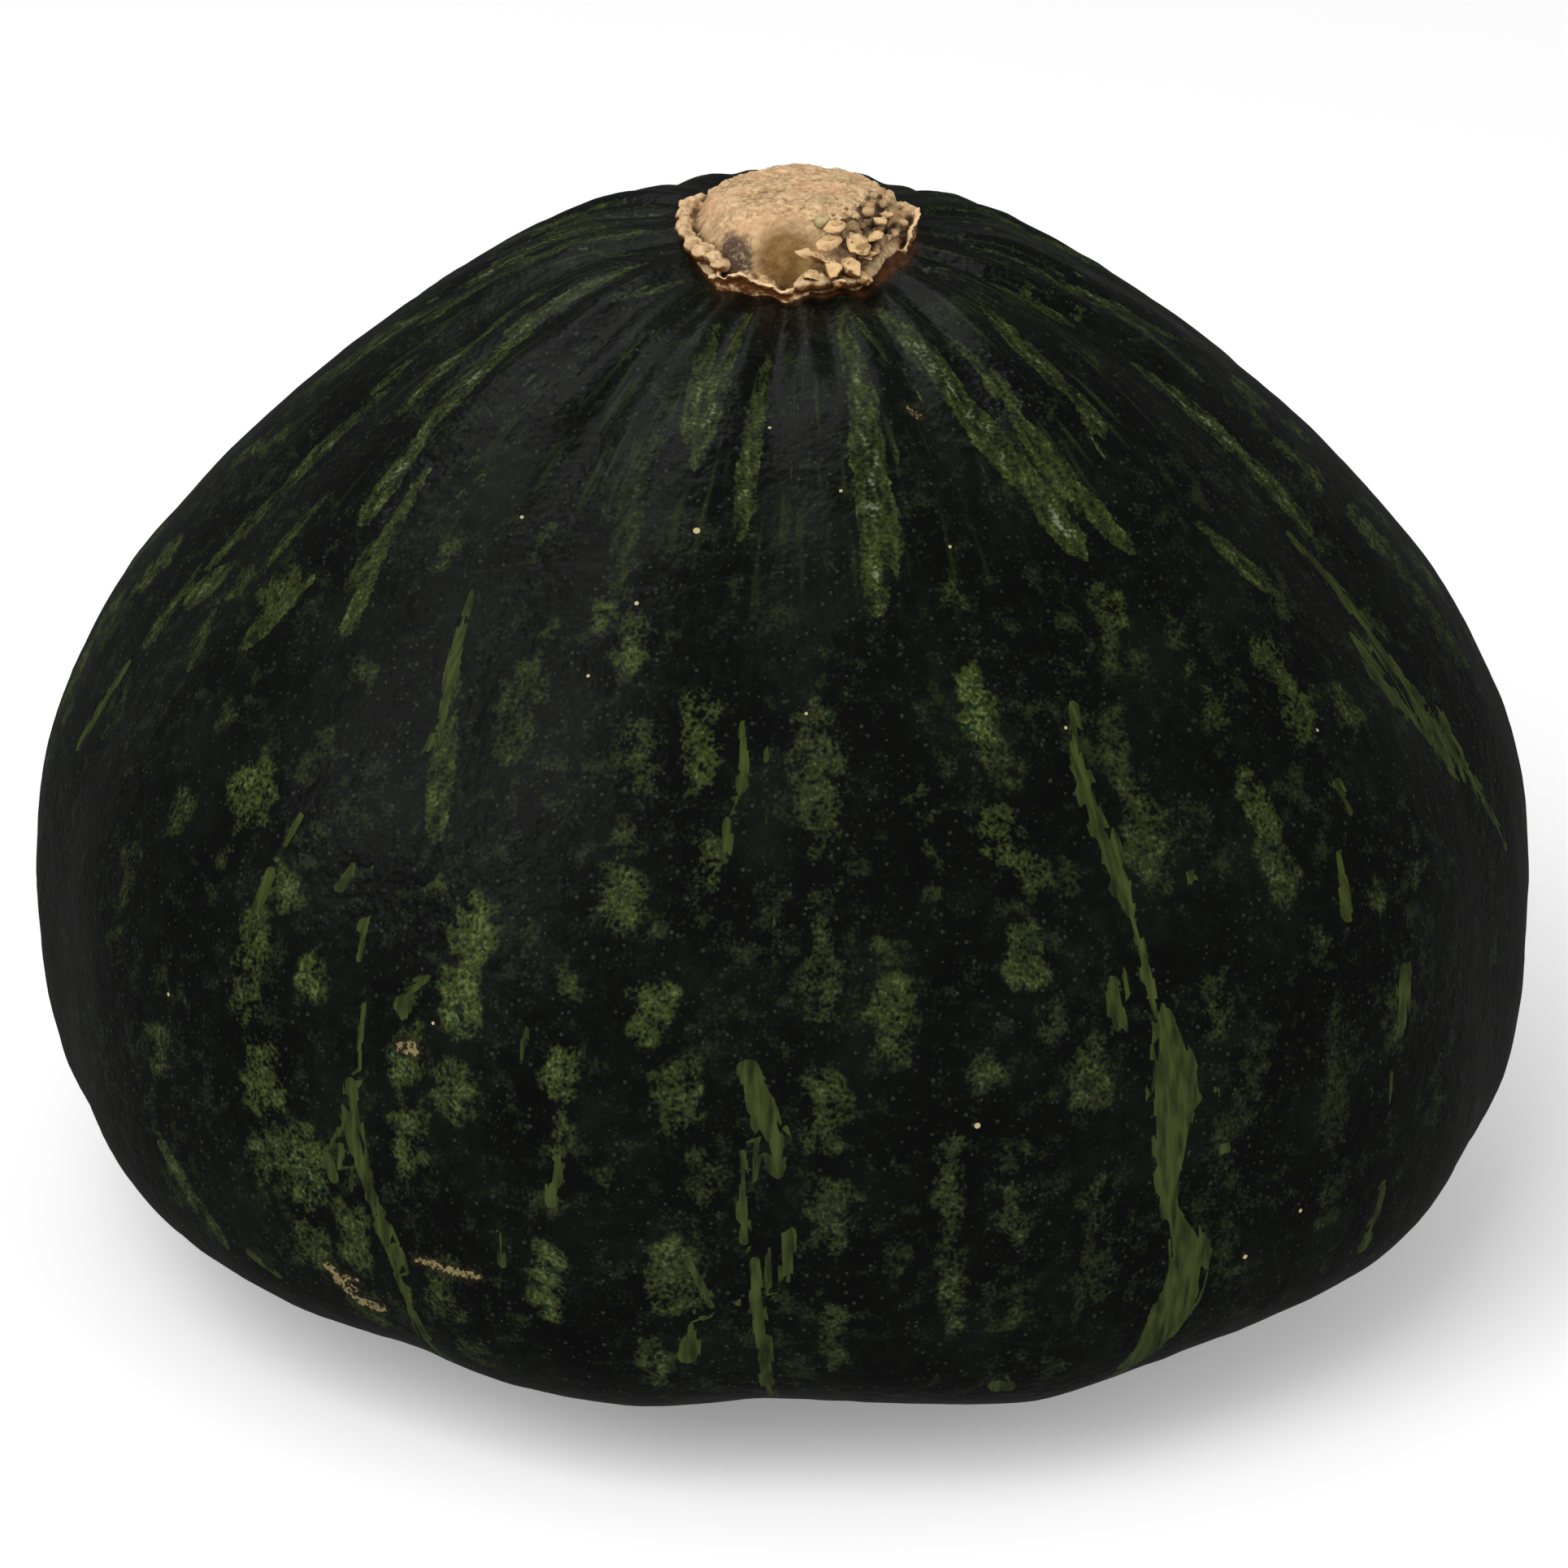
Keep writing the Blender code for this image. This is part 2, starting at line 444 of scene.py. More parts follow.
def skin_tree(material):
    """The geometry tree that bends a grid into the skin."""
    graph, entry = growth("skin", SKIN_SIZES)
    grid_sizes = {0: 1.0, 1: 1.0, 2: entry["Sectors"] + 1.0, 3: entry["Rings"]}
    grid = graph.node("GeometryNodeMeshGrid", None, grid_sizes)
    flat = graph.node("GeometryNodeInputPosition")
    split = graph.parts(flat)
    around = split["X"] * (2 * math.pi)
    along = graph.math("MINIMUM", graph.math("MAXIMUM", 0.5 - split["Y"], 0.0), 1.0)

    curve = graph.node("GeometryNodeMeshToCurve", None, {0: entry["Geometry"]})
    sample = graph.node("GeometryNodeSampleCurve", None, {"Curves": curve, "Factor": along})
    place = graph.parts(sample["Position"])
    slope = graph.parts(sample["Tangent"])
    sine = graph.math("SINE", around)
    cosine = graph.math("COSINE", around)

    round_place = graph.vector(sine * place["X"], cosine * place["X"], place["Z"])
    push = skin_push(graph, entry, along, around)
    push = push + skin_detail(graph, entry, along, around, round_place)
    radius = place["X"] - slope["Z"] * push
    height = place["Z"] + slope["X"] * push

    x = radius * sine
    y = radius * cosine * -1.0
    upper = height > entry["Mid height"]
    height = height + bell(radius, entry["Crown radius"]) * upper * entry["Crown tilt"] * y
    dimple = graph.math("MAXIMUM", 1.0 - (radius / entry["Scar radius"]) ** 2, 0.0) ** 2
    dimple = dimple * (1.0 - upper)
    height = graph.math("SMOOTH_MAX", height, 0.0, entry["Foot rounding"])
    height = height + entry["Scar depth"] * dimple
    bow = graph.math("ABSOLUTE", height / entry["Mid height"] - 1.0) ** 3
    x = x + entry["Core bow"] * bow

    final = graph.vector(x, y, height)
    kept = {
        "skin": graph.vector(sine, cosine, along),
        "weather": graph.three_noises(final, size=13.0, detail=2.0, seed=entry["Seed"] + 5.0),
        "ragged": graph.three_noises(final, size=3.8, detail=1.0, seed=entry["Seed"] + 6.0),
    }
    for name, value in kept.items():
        inputs = {"Geometry": grid, "Name": name, "Value": value}
        grid = graph.node("GeometryNodeStoreNamedAttribute", {"data_type": "FLOAT_VECTOR"}, inputs)
    metres = graph.stretch(final, (MM, MM, MM))
    bent = graph.node("GeometryNodeSetPosition", None, {"Geometry": grid, "Position": metres})
    closed = graph.node("GeometryNodeMergeByDistance", None, {"Geometry": bent, "Distance": WELD})
    end_growth(graph, closed, material)
    return graph


rind = bpy.data.materials.new("rind")
skin_graph = skin_tree(rind)
fruit = grow("fruit_skin", skin_graph, SKIN_SIZES, profile_mesh)
print("skin tree has", len(skin_graph.tree.nodes), "nodes")

# %% [markdown]
# ## Where the markings lie
#
# A kabocha's markings follow its growth: pale stripes start in the pleats at the stem and
# break up about a third of the way down, clean pale streaks run where the rind has split
# along a furrow, and below them come columns of mottled blotches. An image could hold them,
# but it would blur close up and fix one resolution. Here each marking is a stroke, a short
# path with a half width at each of its points, drawn in skin coordinates: the angle from the
# front in degrees, and the way along the profile from stem to blossom end. For each point of
# the skin the deepest stroke is found, as millimetres inside its edge. Distances change
# smoothly, so they survive the mesh's spacing, and the material roughens them into edges.

# %% Strokes: stripes that start at the stem
# Strength, then (around, along) of the start and of the end, and the half width in millimetres.
STRIPES = (
    (1.0, (-22, 0.095), (-16.5, 0.175), 1.4),
    (1.0, (-15.5, 0.08), (-14.5, 0.19), 1.3),
    (0.9, (-6.5, 0.11), (-6.5, 0.225), 1.3),
    (1.0, (13.5, 0.085), (10.5, 0.235), 2.1),
    (1.0, (10.5, 0.20), (10, 0.265), 1.7),
    (1.0, (13.5, 0.19), (12.5, 0.245), 1.3),
    (0.9, (15.5, 0.08), (20.5, 0.125), 0.6),
    (1.0, (27, 0.08), (33.5, 0.215), 2.1),
    (1.0, (33, 0.18), (36, 0.255), 2.0),
    (0.9, (38, 0.17), (38.5, 0.225), 2.0),
    (0.9, (38.5, 0.205), (42, 0.26), 1.6),
    (0.8, (37, 0.115), (39.5, 0.17), 0.9),
    (0.8, (50.5, 0.11), (49, 0.175), 1.7),
    (0.7, (50, 0.175), (49, 0.20), 1.9),
    (0.6, (64, 0.11), (70, 0.145), 1.2),
    (0.6, (82.5, 0.14), (83, 0.185), 0.8),
    (0.9, (-64, 0.075), (-62, 0.16), 1.2),
    (0.9, (-62.5, 0.13), (-58, 0.215), 2.0),
    (0.9, (-57.5, 0.205), (-55.5, 0.265), 1.8),
    (0.9, (-71.5, 0.125), (-66, 0.215), 1.6),
    (0.6, (-65, 0.13), (-64.5, 0.155), 0.5),
    (0.8, (-45, 0.07), (-53, 0.11), 0.7),
    (0.8, (-85.5, 0.14), (-84.5, 0.185), 1.1),
    (1.0, (-88, 0.165), (-91.5, 0.25), 2.2),
    (0.6, (-77.5, 0.19), (-77, 0.22), 0.8),
    (0.9, (-75, 0.21), (-75, 0.275), 1.8),
    (0.9, (-74.5, 0.265), (-76, 0.33), 1.4),
    (0.8, (-64.5, 0.26), (-65, 0.31), 1.2),
    (0.9, (-52.5, 0.225), (-50, 0.28), 1.2),
    (0.9, (-50, 0.265), (-48, 0.315), 1.3),
    (0.8, (-52, 0.27), (-51, 0.295), 1.0),
    (0.7, (-77.5, 0.33), (-76, 0.38), 1.3),
    (0.9, (-71, 0.315), (-75, 0.345), 2.4),
    (0.7, (-69, 0.33), (-64.5, 0.365), 1.3),
    (0.8, (-56.5, 0.295), (-59.5, 0.34), 1.8),
    (0.7, (-47.5, 0.205), (-46.5, 0.22), 0.5),
    (0.7, (-44.5, 0.21), (-44.5, 0.225), 0.4),
    (0.6, (-50, 0.155), (-49.5, 0.17), 0.4),
    (0.5, (-23.5, 0.16), (-22, 0.18), 0.4),
    (0.7, (-90, 0.09), (-84, 0.14), 0.8),
    (0.7, (53, 0.26), (57, 0.305), 1.8),
    (0.8, (71.5, 0.18), (72.5, 0.25), 1.8),
    (0.8, (72.5, 0.235), (72, 0.30), 1.9),
    (0.9, (50, 0.065), (65, 0.085), 0.5),
    (0.9, (64, 0.085), (70.5, 0.14), 0.8),
    (0.9, (81.5, 0.095), (88, 0.205), 0.9),
    (0.8, (118, 0.065), (115, 0.12), 0.7),
    (0.8, (-115, 0.07), (-116, 0.14), 0.8),
    (0.9, (-82, 0.06), (-92, 0.09), 0.5),
    (0.9, (-91, 0.09), (-111, 0.16), 0.7),
    (0.9, (-68, 0.065), (-82, 0.10), 0.5),
    (0.8, (-82, 0.10), (-94, 0.15), 0.6),
    (0.6, (-114, 0.08), (-102, 0.155), 0.8),
    (0.7, (-35, 0.30), (-30, 0.39), 1.7),
    (0.3, (-23, 0.175), (-20, 0.255), 1.8),
    (0.8, (-54.5, 0.57), (-47.5, 0.625), 1.8),
)
# Share of the way from start to end, and share of the half width there.
STRIPE_TAPER = ((0.0, 0.25), (0.3, 0.7), (0.65, 1.0), (0.88, 0.85), (1.0, 0.3))


def tapered(strength, start, end, half_width):
    """A stroke that starts thin, is widest past its middle and ends blunt."""
    points = [
        (start[0] + (end[0] - start[0]) * way, start[1] + (end[1] - start[1]) * way, half_width * share)
        for way, share in STRIPE_TAPER
    ]
    return (strength, *points)


near_stripes = [tapered(*stripe) for stripe in STRIPES]
print(len(near_stripes), "stripes drawn by hand")

# %% Strokes: clean streaks along the furrows
# Strength, then (around, along, half width in millimetres) of each point.
STREAKS = [
    (1.0, (28.5, 0.32, 0.4), (27, 0.345, 0.9), (27, 0.375, 1.2), (28, 0.405, 1.6), (28.3, 0.42, 0.5)),
    (0.9, (28.3, 0.42, 0.35), (28.6, 0.45, 0.7), (28.8, 0.47, 0.4)),
    (1.0, (29.5, 0.47, 1.2), (30, 0.505, 3.2), (29.5, 0.535, 2.4), (29.3, 0.565, 1.1)),
    (1.0, (29.5, 0.565, 1.1), (31, 0.59, 2.6), (30.3, 0.615, 3.0), (28.5, 0.64, 2.1), (26.5, 0.675, 1.2)),
    (0.9, (26.5, 0.67, 1.2), (25.5, 0.70, 0.8), (25, 0.74, 0.5)),
    (1.0, (25.5, 0.45, 0.8), (25.5, 0.47, 1.0)),
    (0.9, (-2.6, 0.475, 0.9), (-1.5, 0.495, 1.6), (-0.6, 0.51, 1.3), (-0.6, 0.525, 0.6)),
    (0.8, (-3, 0.515, 0.4), (-3, 0.56, 0.6)),
    (0.9, (-2.2, 0.57, 0.4), (-2, 0.61, 0.8), (-1.6, 0.66, 0.7), (-1.4, 0.70, 0.5)),
    (0.6, (-4, 0.315, 0.4), (-3.8, 0.345, 0.7)),
    (0.6, (-5, 0.36, 0.7), (-5, 0.375, 0.6)),
    (1.0, (-16.5, 0.525, 1.0), (-17, 0.545, 0.5)),
    (0.8, (-19.5, 0.465, 0.5), (-19.5, 0.48, 0.3)),
    (0.6, (0.2, 0.555, 0.8), (0.2, 0.58, 0.7)),
    (0.8, (-34.5, 0.43, 0.35), (-34.5, 0.45, 0.35)),
    (0.9, (-33.4, 0.47, 0.4), (-33.2, 0.505, 0.5)),
    (1.0, (-34, 0.51, 0.8), (-33.5, 0.54, 1.3), (-32, 0.57, 0.8), (-30, 0.61, 0.6), (-29, 0.66, 0.8)),
    (0.9, (-29, 0.655, 0.8), (-27.5, 0.685, 0.7)),
    (0.8, (-7, 0.605, 0.8), (-7.5, 0.625, 0.9)),
    (0.7, (-7, 0.57, 0.5), (-5.5, 0.595, 0.8)),
    (0.9, (-44, 0.425, 0.6), (-44.5, 0.445, 0.5)),
    (0.9, (-37, 0.41, 0.5), (-37.5, 0.42, 0.6)),
    (0.7, (-43, 0.395, 0.4), (-43.5, 0.41, 0.5)),
    (0.9, (51, 0.395, 0.9), (51.5, 0.41, 0.7)),
    (0.9, (48.5, 0.425, 0.6), (47.5, 0.45, 0.9)),
    (0.7, (52.6, 0.49, 1.3), (52, 0.515, 1.1)),
    (0.8, (50.6, 0.535, 0.4), (50.4, 0.55, 0.5)),
    (0.9, (50, 0.595, 0.9), (49.4, 0.625, 0.9)),
    (1.0, (68, 0.29, 0.5), (69, 0.33, 1.0), (69, 0.37, 1.0), (69.5, 0.40, 1.1), (71.5, 0.43, 0.8)),
    (0.9, (71.5, 0.43, 0.8), (73, 0.455, 0.8), (75, 0.485, 0.5)),
    (1.0, (65.5, 0.345, 0.6), (65, 0.365, 1.8), (65.5, 0.38, 1.4), (67, 0.395, 0.7), (70, 0.435, 0.6)),
    (0.8, (72, 0.40, 0.6), (72.5, 0.425, 0.5)),
    (0.7, (16, 0.645, 1.2), (17, 0.65, 0.9)),
    (0.8, (-77, 0.39, 0.6), (-78.4, 0.44, 0.8)),
    (0.9, (-37, 0.272, 0.4), (-35, 0.31, 0.6), (-33, 0.345, 0.4)),
    (1.0, (-28, 0.45, 0.5), (-29, 0.455, 0.9), (-30, 0.465, 0.8), (-29.5, 0.47, 0.5)),
    (0.9, (-21, 0.565, 0.4), (-21, 0.58, 0.5)),
    (0.7, (-31, 0.57, 0.2), (-29.5, 0.59, 0.3), (-29, 0.61, 0.2)),
    (0.7, (-45, 0.62, 0.5), (-42.5, 0.63, 0.6)),
    (0.8, (-36, 0.55, 0.8), (-35.5, 0.56, 0.7)),
]
SCARS = [
    (1.0, (-37, 0.61, 0.5), (-36, 0.62, 0.8), (-34.5, 0.63, 0.9), (-32.5, 0.63, 0.6)),
    (1.0, (-35.5, 0.615, 0.5), (-34.5, 0.615, 0.5)),
    (1.0, (-28.5, 0.59, 0.3), (-26, 0.59, 0.5), (-23, 0.59, 0.4)),
    (1.0, (-29.5, 0.485, 0.8), (-28.5, 0.485, 0.8)),
    (1.0, (21, 0.155, 0.4), (22, 0.16, 0.4)),
]
# Cream specks: around, along, radius in millimetres.
SPECKS = (
    (-12, 0.222, 0.4), (14, 0.505, 0.35), (36, 0.60, 0.3), (41, 0.585, 0.25), (-4, 0.16, 0.2),
    (20, 0.235, 0.2), (-20, 0.30, 0.2), (-36, 0.23, 0.22), (-17, 0.262, 0.25), (7, 0.20, 0.2),
    (2, 0.31, 0.18), (27, 0.33, 0.2), (-27, 0.47, 0.2), (52, 0.37, 0.2), (-52, 0.50, 0.22),
    (110, 0.40, 0.35), (152, 0.28, 0.3), (203, 0.46, 0.4), (238, 0.33, 0.3), (265, 0.52, 0.3),
)
specks = [(1.0, speck, speck) for speck in SPECKS]
print(len(STREAKS), "streaks,", len(SCARS), "scars and", len(SPECKS), "specks drawn by hand")

# %% [markdown]
# The blotches stand in columns between the furrows, most of them longer than they are wide,
# so each column is written as its angle and the places of its blotches. The sides and the
# back get stripes, streaks and columns of their own from a seeded random generator, with the
# same habits: a stripe by the stem in every other column, and streaks down each furrow.

# %% Strokes: columns of blotches
# around: (along, half length, half width, strength), lengths in millimetres.
BLOTCHES = {
    -74: ((0.41, 3.5, 1.6, 0.5), (0.47, 3.5, 1.4, 0.4)),
    -67: ((0.35, 2.2, 1.6, 0.6), (0.32, 2.0, 2.2, 0.6)),
    -60: ((0.31, 2.4, 3.2, 0.7), (0.46, 4.0, 1.5, 0.5), (0.49, 3.0, 1.6, 0.5)),
    -56: ((0.42, 2.8, 2.4, 0.6), (0.37, 1.8, 1.5, 0.5)),
    -53: ((0.53, 3.5, 1.8, 0.6), (0.49, 3.0, 1.6, 0.4), (0.60, 3.5, 2.0, 0.5)),
    -49: ((0.395, 3.4, 3.8, 0.9), (0.43, 1.6, 1.4, 0.4)),
    -44: ((0.46, 4.0, 1.9, 0.9), (0.485, 3.0, 2.2, 0.8), (0.37, 4.0, 2.0, 0.35), (0.325, 2.0, 2.4, 0.4)),
    -42: ((0.43, 1.6, 2.6, 0.7), (0.52, 4.5, 2.8, 1.0), (0.56, 3.5, 1.8, 0.7), (0.26, 2.6, 1.5, 0.6)),
    -38: ((0.465, 3.4, 2.0, 0.9), (0.56, 4.8, 3.0, 0.9), (0.60, 3.5, 2.4, 0.7)),
    -34: ((0.59, 4.4, 2.4, 0.8), (0.635, 3.5, 2.8, 0.7)),
    -32: ((0.24, 2.4, 1.2, 0.6),),
    -29: ((0.41, 2.0, 1.4, 0.7), (0.49, 3.6, 2.4, 0.9), (0.46, 2.4, 1.8, 0.6), (0.53, 4.4, 2.2, 0.8)),
    -26: ((0.32, 6.0, 2.8, 0.5), (0.60, 5.0, 2.6, 0.6), (0.28, 2.0, 1.2, 0.4)),
    -25: ((0.425, 3.6, 3.2, 0.9), (0.455, 4.0, 2.8, 0.9), (0.50, 3.6, 3.0, 0.8), (0.64, 3.0, 2.6, 0.5)),
    -20: ((0.25, 3.4, 1.6, 0.25), (0.27, 1.6, 1.2, 0.7), (0.42, 1.4, 1.0, 0.3)),
    -16.5: ((0.28, 3.8, 1.8, 0.8), (0.44, 2.6, 1.0, 0.6), (0.48, 3.6, 1.9, 1.0), (0.515, 3.0, 0.9, 0.7)),
    -17.5: ((0.585, 4.6, 2.4, 0.9), (0.545, 1.6, 2.2, 0.4)),
    -13: ((0.335, 4.0, 2.2, 0.6), (0.375, 2.6, 2.2, 0.5), (0.40, 4.0, 2.8, 0.8), (0.53, 2.0, 1.8, 0.3)),
    -10: ((0.45, 4.0, 2.4, 0.9), (0.41, 2.0, 1.8, 0.4), (0.63, 4.2, 2.0, 0.7)),
    -8: ((0.325, 5.4, 2.0, 0.9), (0.41, 1.5, 1.5, 0.5), (0.49, 4.8, 3.0, 0.7), (0.58, 4.6, 3.2, 0.7)),
    -6: ((0.38, 3.2, 2.0, 0.8), (0.56, 2.4, 1.6, 0.4), (0.53, 3.4, 1.8, 0.5)),
    3: ((0.335, 6.8, 2.8, 0.6), (0.41, 5.4, 1.8, 0.5), (0.44, 3.0, 1.8, 0.6), (0.495, 4.8, 2.4, 0.7)),
    3.5: ((0.365, 3.0, 1.8, 0.6), (0.545, 4.8, 2.8, 0.6), (0.61, 5.0, 2.2, 0.6), (0.665, 3.0, 2.4, 0.3)),
    8: ((0.45, 5.0, 2.6, 0.7), (0.425, 2.4, 1.8, 0.4), (0.57, 3.0, 1.6, 0.25)),
    12: ((0.36, 3.6, 0.9, 0.6), (0.40, 2.6, 0.9, 0.5), (0.53, 6.0, 1.6, 0.6), (0.59, 6.0, 1.4, 0.6)),
    14.5: ((0.31, 2.4, 1.4, 0.25), (0.48, 2.8, 2.0, 0.6), (0.34, 2.0, 1.2, 0.2)),
    16.5: ((0.55, 3.4, 1.6, 0.6), (0.52, 2.4, 1.6, 0.4), (0.595, 3.6, 2.0, 0.4)),
    18.5: ((0.315, 5.2, 1.9, 0.9), (0.26, 2.0, 1.2, 0.6), (0.375, 4.0, 2.4, 0.8), (0.43, 3.8, 2.6, 0.7)),
    20: ((0.345, 2.4, 1.4, 0.6), (0.395, 3.0, 2.6, 0.7), (0.46, 2.0, 1.4, 0.4), (0.64, 3.0, 2.0, 0.4)),
    23: ((0.49, 4.6, 2.4, 0.6), (0.555, 3.4, 2.2, 0.4), (0.59, 4.4, 3.0, 0.4), (0.40, 2.4, 1.8, 0.35)),
    31: ((0.345, 5.0, 2.0, 0.5), (0.385, 4.4, 2.4, 0.6), (0.405, 2.4, 2.2, 0.5), (0.28, 2.4, 1.3, 0.4)),
    34: ((0.30, 2.4, 1.2, 0.4), (0.47, 3.8, 1.9, 0.5), (0.54, 4.4, 2.2, 0.3), (0.60, 4.0, 2.2, 0.35)),
    36.5: ((0.28, 2.4, 1.5, 0.7), (0.31, 1.4, 1.0, 0.3), (0.51, 4.6, 2.0, 0.3)),
    42: ((0.345, 2.6, 2.2, 0.6), (0.31, 3.0, 1.2, 0.5), (0.39, 4.0, 2.2, 0.7), (0.42, 3.6, 2.6, 0.6)),
    44: ((0.46, 3.0, 1.8, 0.4), (0.505, 4.0, 2.0, 0.3), (0.54, 4.8, 2.6, 0.35), (0.585, 4.0, 2.0, 0.35)),
    51: ((0.335, 3.4, 2.0, 0.8), (0.36, 3.0, 2.6, 0.8), (0.45, 2.6, 1.8, 0.6), (0.51, 4.6, 2.4, 0.4)),
    57: ((0.37, 3.2, 2.2, 0.6), (0.45, 2.4, 2.6, 0.6), (0.56, 4.4, 2.0, 0.4), (0.31, 2.6, 1.6, 0.5)),
    71: ((0.35, 2.8, 1.6, 0.6), (0.30, 2.4, 1.2, 0.5), (0.52, 3.4, 1.6, 0.5), (0.58, 3.0, 1.8, 0.4)),
}
# How much longer the columns' blotches come out, and the least from a middle to an end point.
BLOTCH_GROWTH = 1.2
SHORTEST_RUN = 0.2


def oval(strength, around, along, half_length, half_width, growth=1.0):
    """A blotch as a stroke of two points, one above the other."""
    run = max(half_length - half_width, SHORTEST_RUN) * growth / PROFILE_LENGTH
    return (strength, *[(around, along + way * run, half_width) for way in (-1, 1)])


def column_strokes(columns):
    """All blotches of the columns as strokes."""
    strokes = []
    for around, blotches in columns.items():
        for along, half_length, half_width, strength in blotches:
            strokes.append(oval(strength, around, along, half_length, half_width, BLOTCH_GROWTH))
    return strokes


FAR_COLUMNS = np.arange(84.0, 282.0, 6.0)
FAR_FURROWS = sorted(angle % 360.0 for angle in FURROW_ANGLES if abs(angle) > 100.0)
# Below these ways along the profile no blotch and no streak starts.
LAST_BLOTCH = 0.68
LAST_STREAK = 0.66


def far_side_strokes(rng):
    """Stripes, streaks and blotches for the sides and the back, by the same habits."""
    stripes, streaks, blotches = [], [], []
    for column, around in enumerate(FAR_COLUMNS):
        turn = around + rng.uniform(-2.0, 2.0)
        if column % 2 == 0:
            start = rng.uniform(0.065, 0.10)
            length = rng.uniform(0.06, 0.19)
            width = rng.uniform(0.9, 1.9)
            end = (turn + rng.uniform(-3, 3), start + length)
            stripes.append(tapered(rng.uniform(0.6, 1.0), (turn, start), end, width))
        along = rng.uniform(0.24, 0.31)
        while along < LAST_BLOTCH:
            half_length = rng.uniform(2.0, 5.5)
            half_width = min(rng.uniform(1.2, 3.0), half_length)
            place = turn + rng.uniform(-1.2, 1.2)
            blotches.append(oval(rng.uniform(0.3, 1.0), place, along, half_length, half_width))
            along += (half_length + rng.uniform(3.0, 9.0)) / PROFILE_LENGTH
    for angle in FAR_FURROWS:
        along = rng.uniform(0.30, 0.40)
        while along < LAST_STREAK:
            length = rng.uniform(0.02, 0.09)
            width = rng.uniform(0.4, 1.8)
            turn = angle + rng.uniform(-1.5, 1.5)
            middle = (turn + rng.uniform(-0.8, 0.8), along + 0.5 * length, width)
            end = (turn + rng.uniform(-1, 1), along + length, 0.4 * width)
            streaks.append((rng.uniform(0.7, 1.0), (turn, along, 0.5 * width), middle, end))
            along += length + rng.uniform(0.01, 0.08)
    return stripes, streaks, blotches


far_stripes, far_streaks, far_blotches = far_side_strokes(np.random.default_rng(11))
near_blotches = column_strokes(BLOTCHES)
print(len(near_blotches), "blotches by hand,", len(far_blotches), "for the far side")

# %% [markdown]
# ## From strokes to the skin
#
# For every point of the skin the stroke that holds it deepest is kept. A stripe or a blotch
# needs its strength and one more number, how many millimetres the point is inside the edge.
# A streak can be thinner than the mesh is fine, and a depth would lose it between two points,
# so a streak keeps the sideways and lengthways offset to its middle line, and its half width.
# Those change evenly from point to point, and the material works out the depth from them, so
# a streak half a millimetre wide stays whole. Everything is the distance to a line segment,
# for all points at once with numpy, on a flat map whose sideways scale is the fruit's own
# radius there.

# %% Measure the strokes on the skin
# How far outside a stroke a point still knows of it, in millimetres.
REACH = 4.0
STREAK_REACH = 1.5


def mesh_vectors(collection, name):
    """A vector for each item of a mesh, as rows."""
    values = np.zeros(len(collection) * 3, np.float32)
    collection.foreach_get(name, values)
    return values.reshape(-1, 3).astype(float)


def skin_places(mesh):
    """Around, in radians, along, and the distance from the core in millimetres, per point."""
    sine, cosine, along = mesh_vectors(mesh.attributes["skin"].data, "vector").T
    points = mesh_vectors(mesh.vertices, "co") / MM
    return np.arctan2(sine, cosine), along, np.hypot(points[:, 0], points[:, 1])


def nearest_stroke(places, strokes, reach):
    """For each point the depth in its deepest stroke, and four numbers about that stroke.

    They are the sideways and lengthways offset, the half width there, and the strength."""
    around, along, radius = places
    depth = np.full(len(around), -reach)
    best = np.tile([0.0, REACH, -REACH, 0.0], (len(around), 1))
    for strength, *points in strokes:
        for first, last in zip(points, points[1:]):
            margin = (REACH + max(first[2], last[2])) / PROFILE_LENGTH
            low = min(first[1], last[1]) - margin
            high = max(first[1], last[1]) + margin
            near = np.flatnonzero((along > low) & (along < high))
            ends = []
            for turn, run, _ in (first, last):
                angle = (np.radians(turn) - around[near] + math.pi) % (2 * math.pi) - math.pi
                ends.append(np.stack([angle * radius[near], (run - along[near]) * PROFILE_LENGTH]))
            span = ends[1] - ends[0]
            share = -(ends[0] * span).sum(0) / np.maximum((span ** 2).sum(0), 1e-9)
            share = np.clip(share, 0.0, 1.0)
            offset = ends[0] + span * share
            width = first[2] + (last[2] - first[2]) * share
            inside = width - np.linalg.norm(offset, axis=0)
            better = inside > depth[near]
            chosen = near[better]
            depth[chosen] = inside[better]
            best[chosen, :2] = offset[:, better].T
            best[chosen, 2] = width[better]
            best[chosen, 3] = strength
    return depth, best


def store(mesh, name, values):
    """Keep a number, or a vector, for each point of a mesh under a name."""
    values = np.asarray(values, np.float32)
    kind, part = ("FLOAT", "value") if values.ndim == 1 else ("FLOAT_VECTOR", "vector")
    attribute = mesh.attributes.new(name, kind, "POINT")
    attribute.data.foreach_set(part, values.ravel())


places = skin_places(fruit.data)
for name, strokes in (("stripe", near_stripes + far_stripes), ("blotch", near_blotches + far_blotches)):
    depth, best = nearest_stroke(places, strokes, REACH)
    store(fruit.data, name, depth)
    store(fruit.data, name + "_strength", best[:, 3])
    print(name, "covers", round(100 * float((depth > 0).mean()), 1), "% of the points")
for name, strokes in (("streak", STREAKS + far_streaks), ("scar", SCARS), ("speck", specks)):
    depth, best = nearest_stroke(places, strokes, STREAK_REACH)
    store(fruit.data, name, best[:, :3])
    print(name, "covers", round(100 * float((depth > 0).mean()), 2), "% of the points")

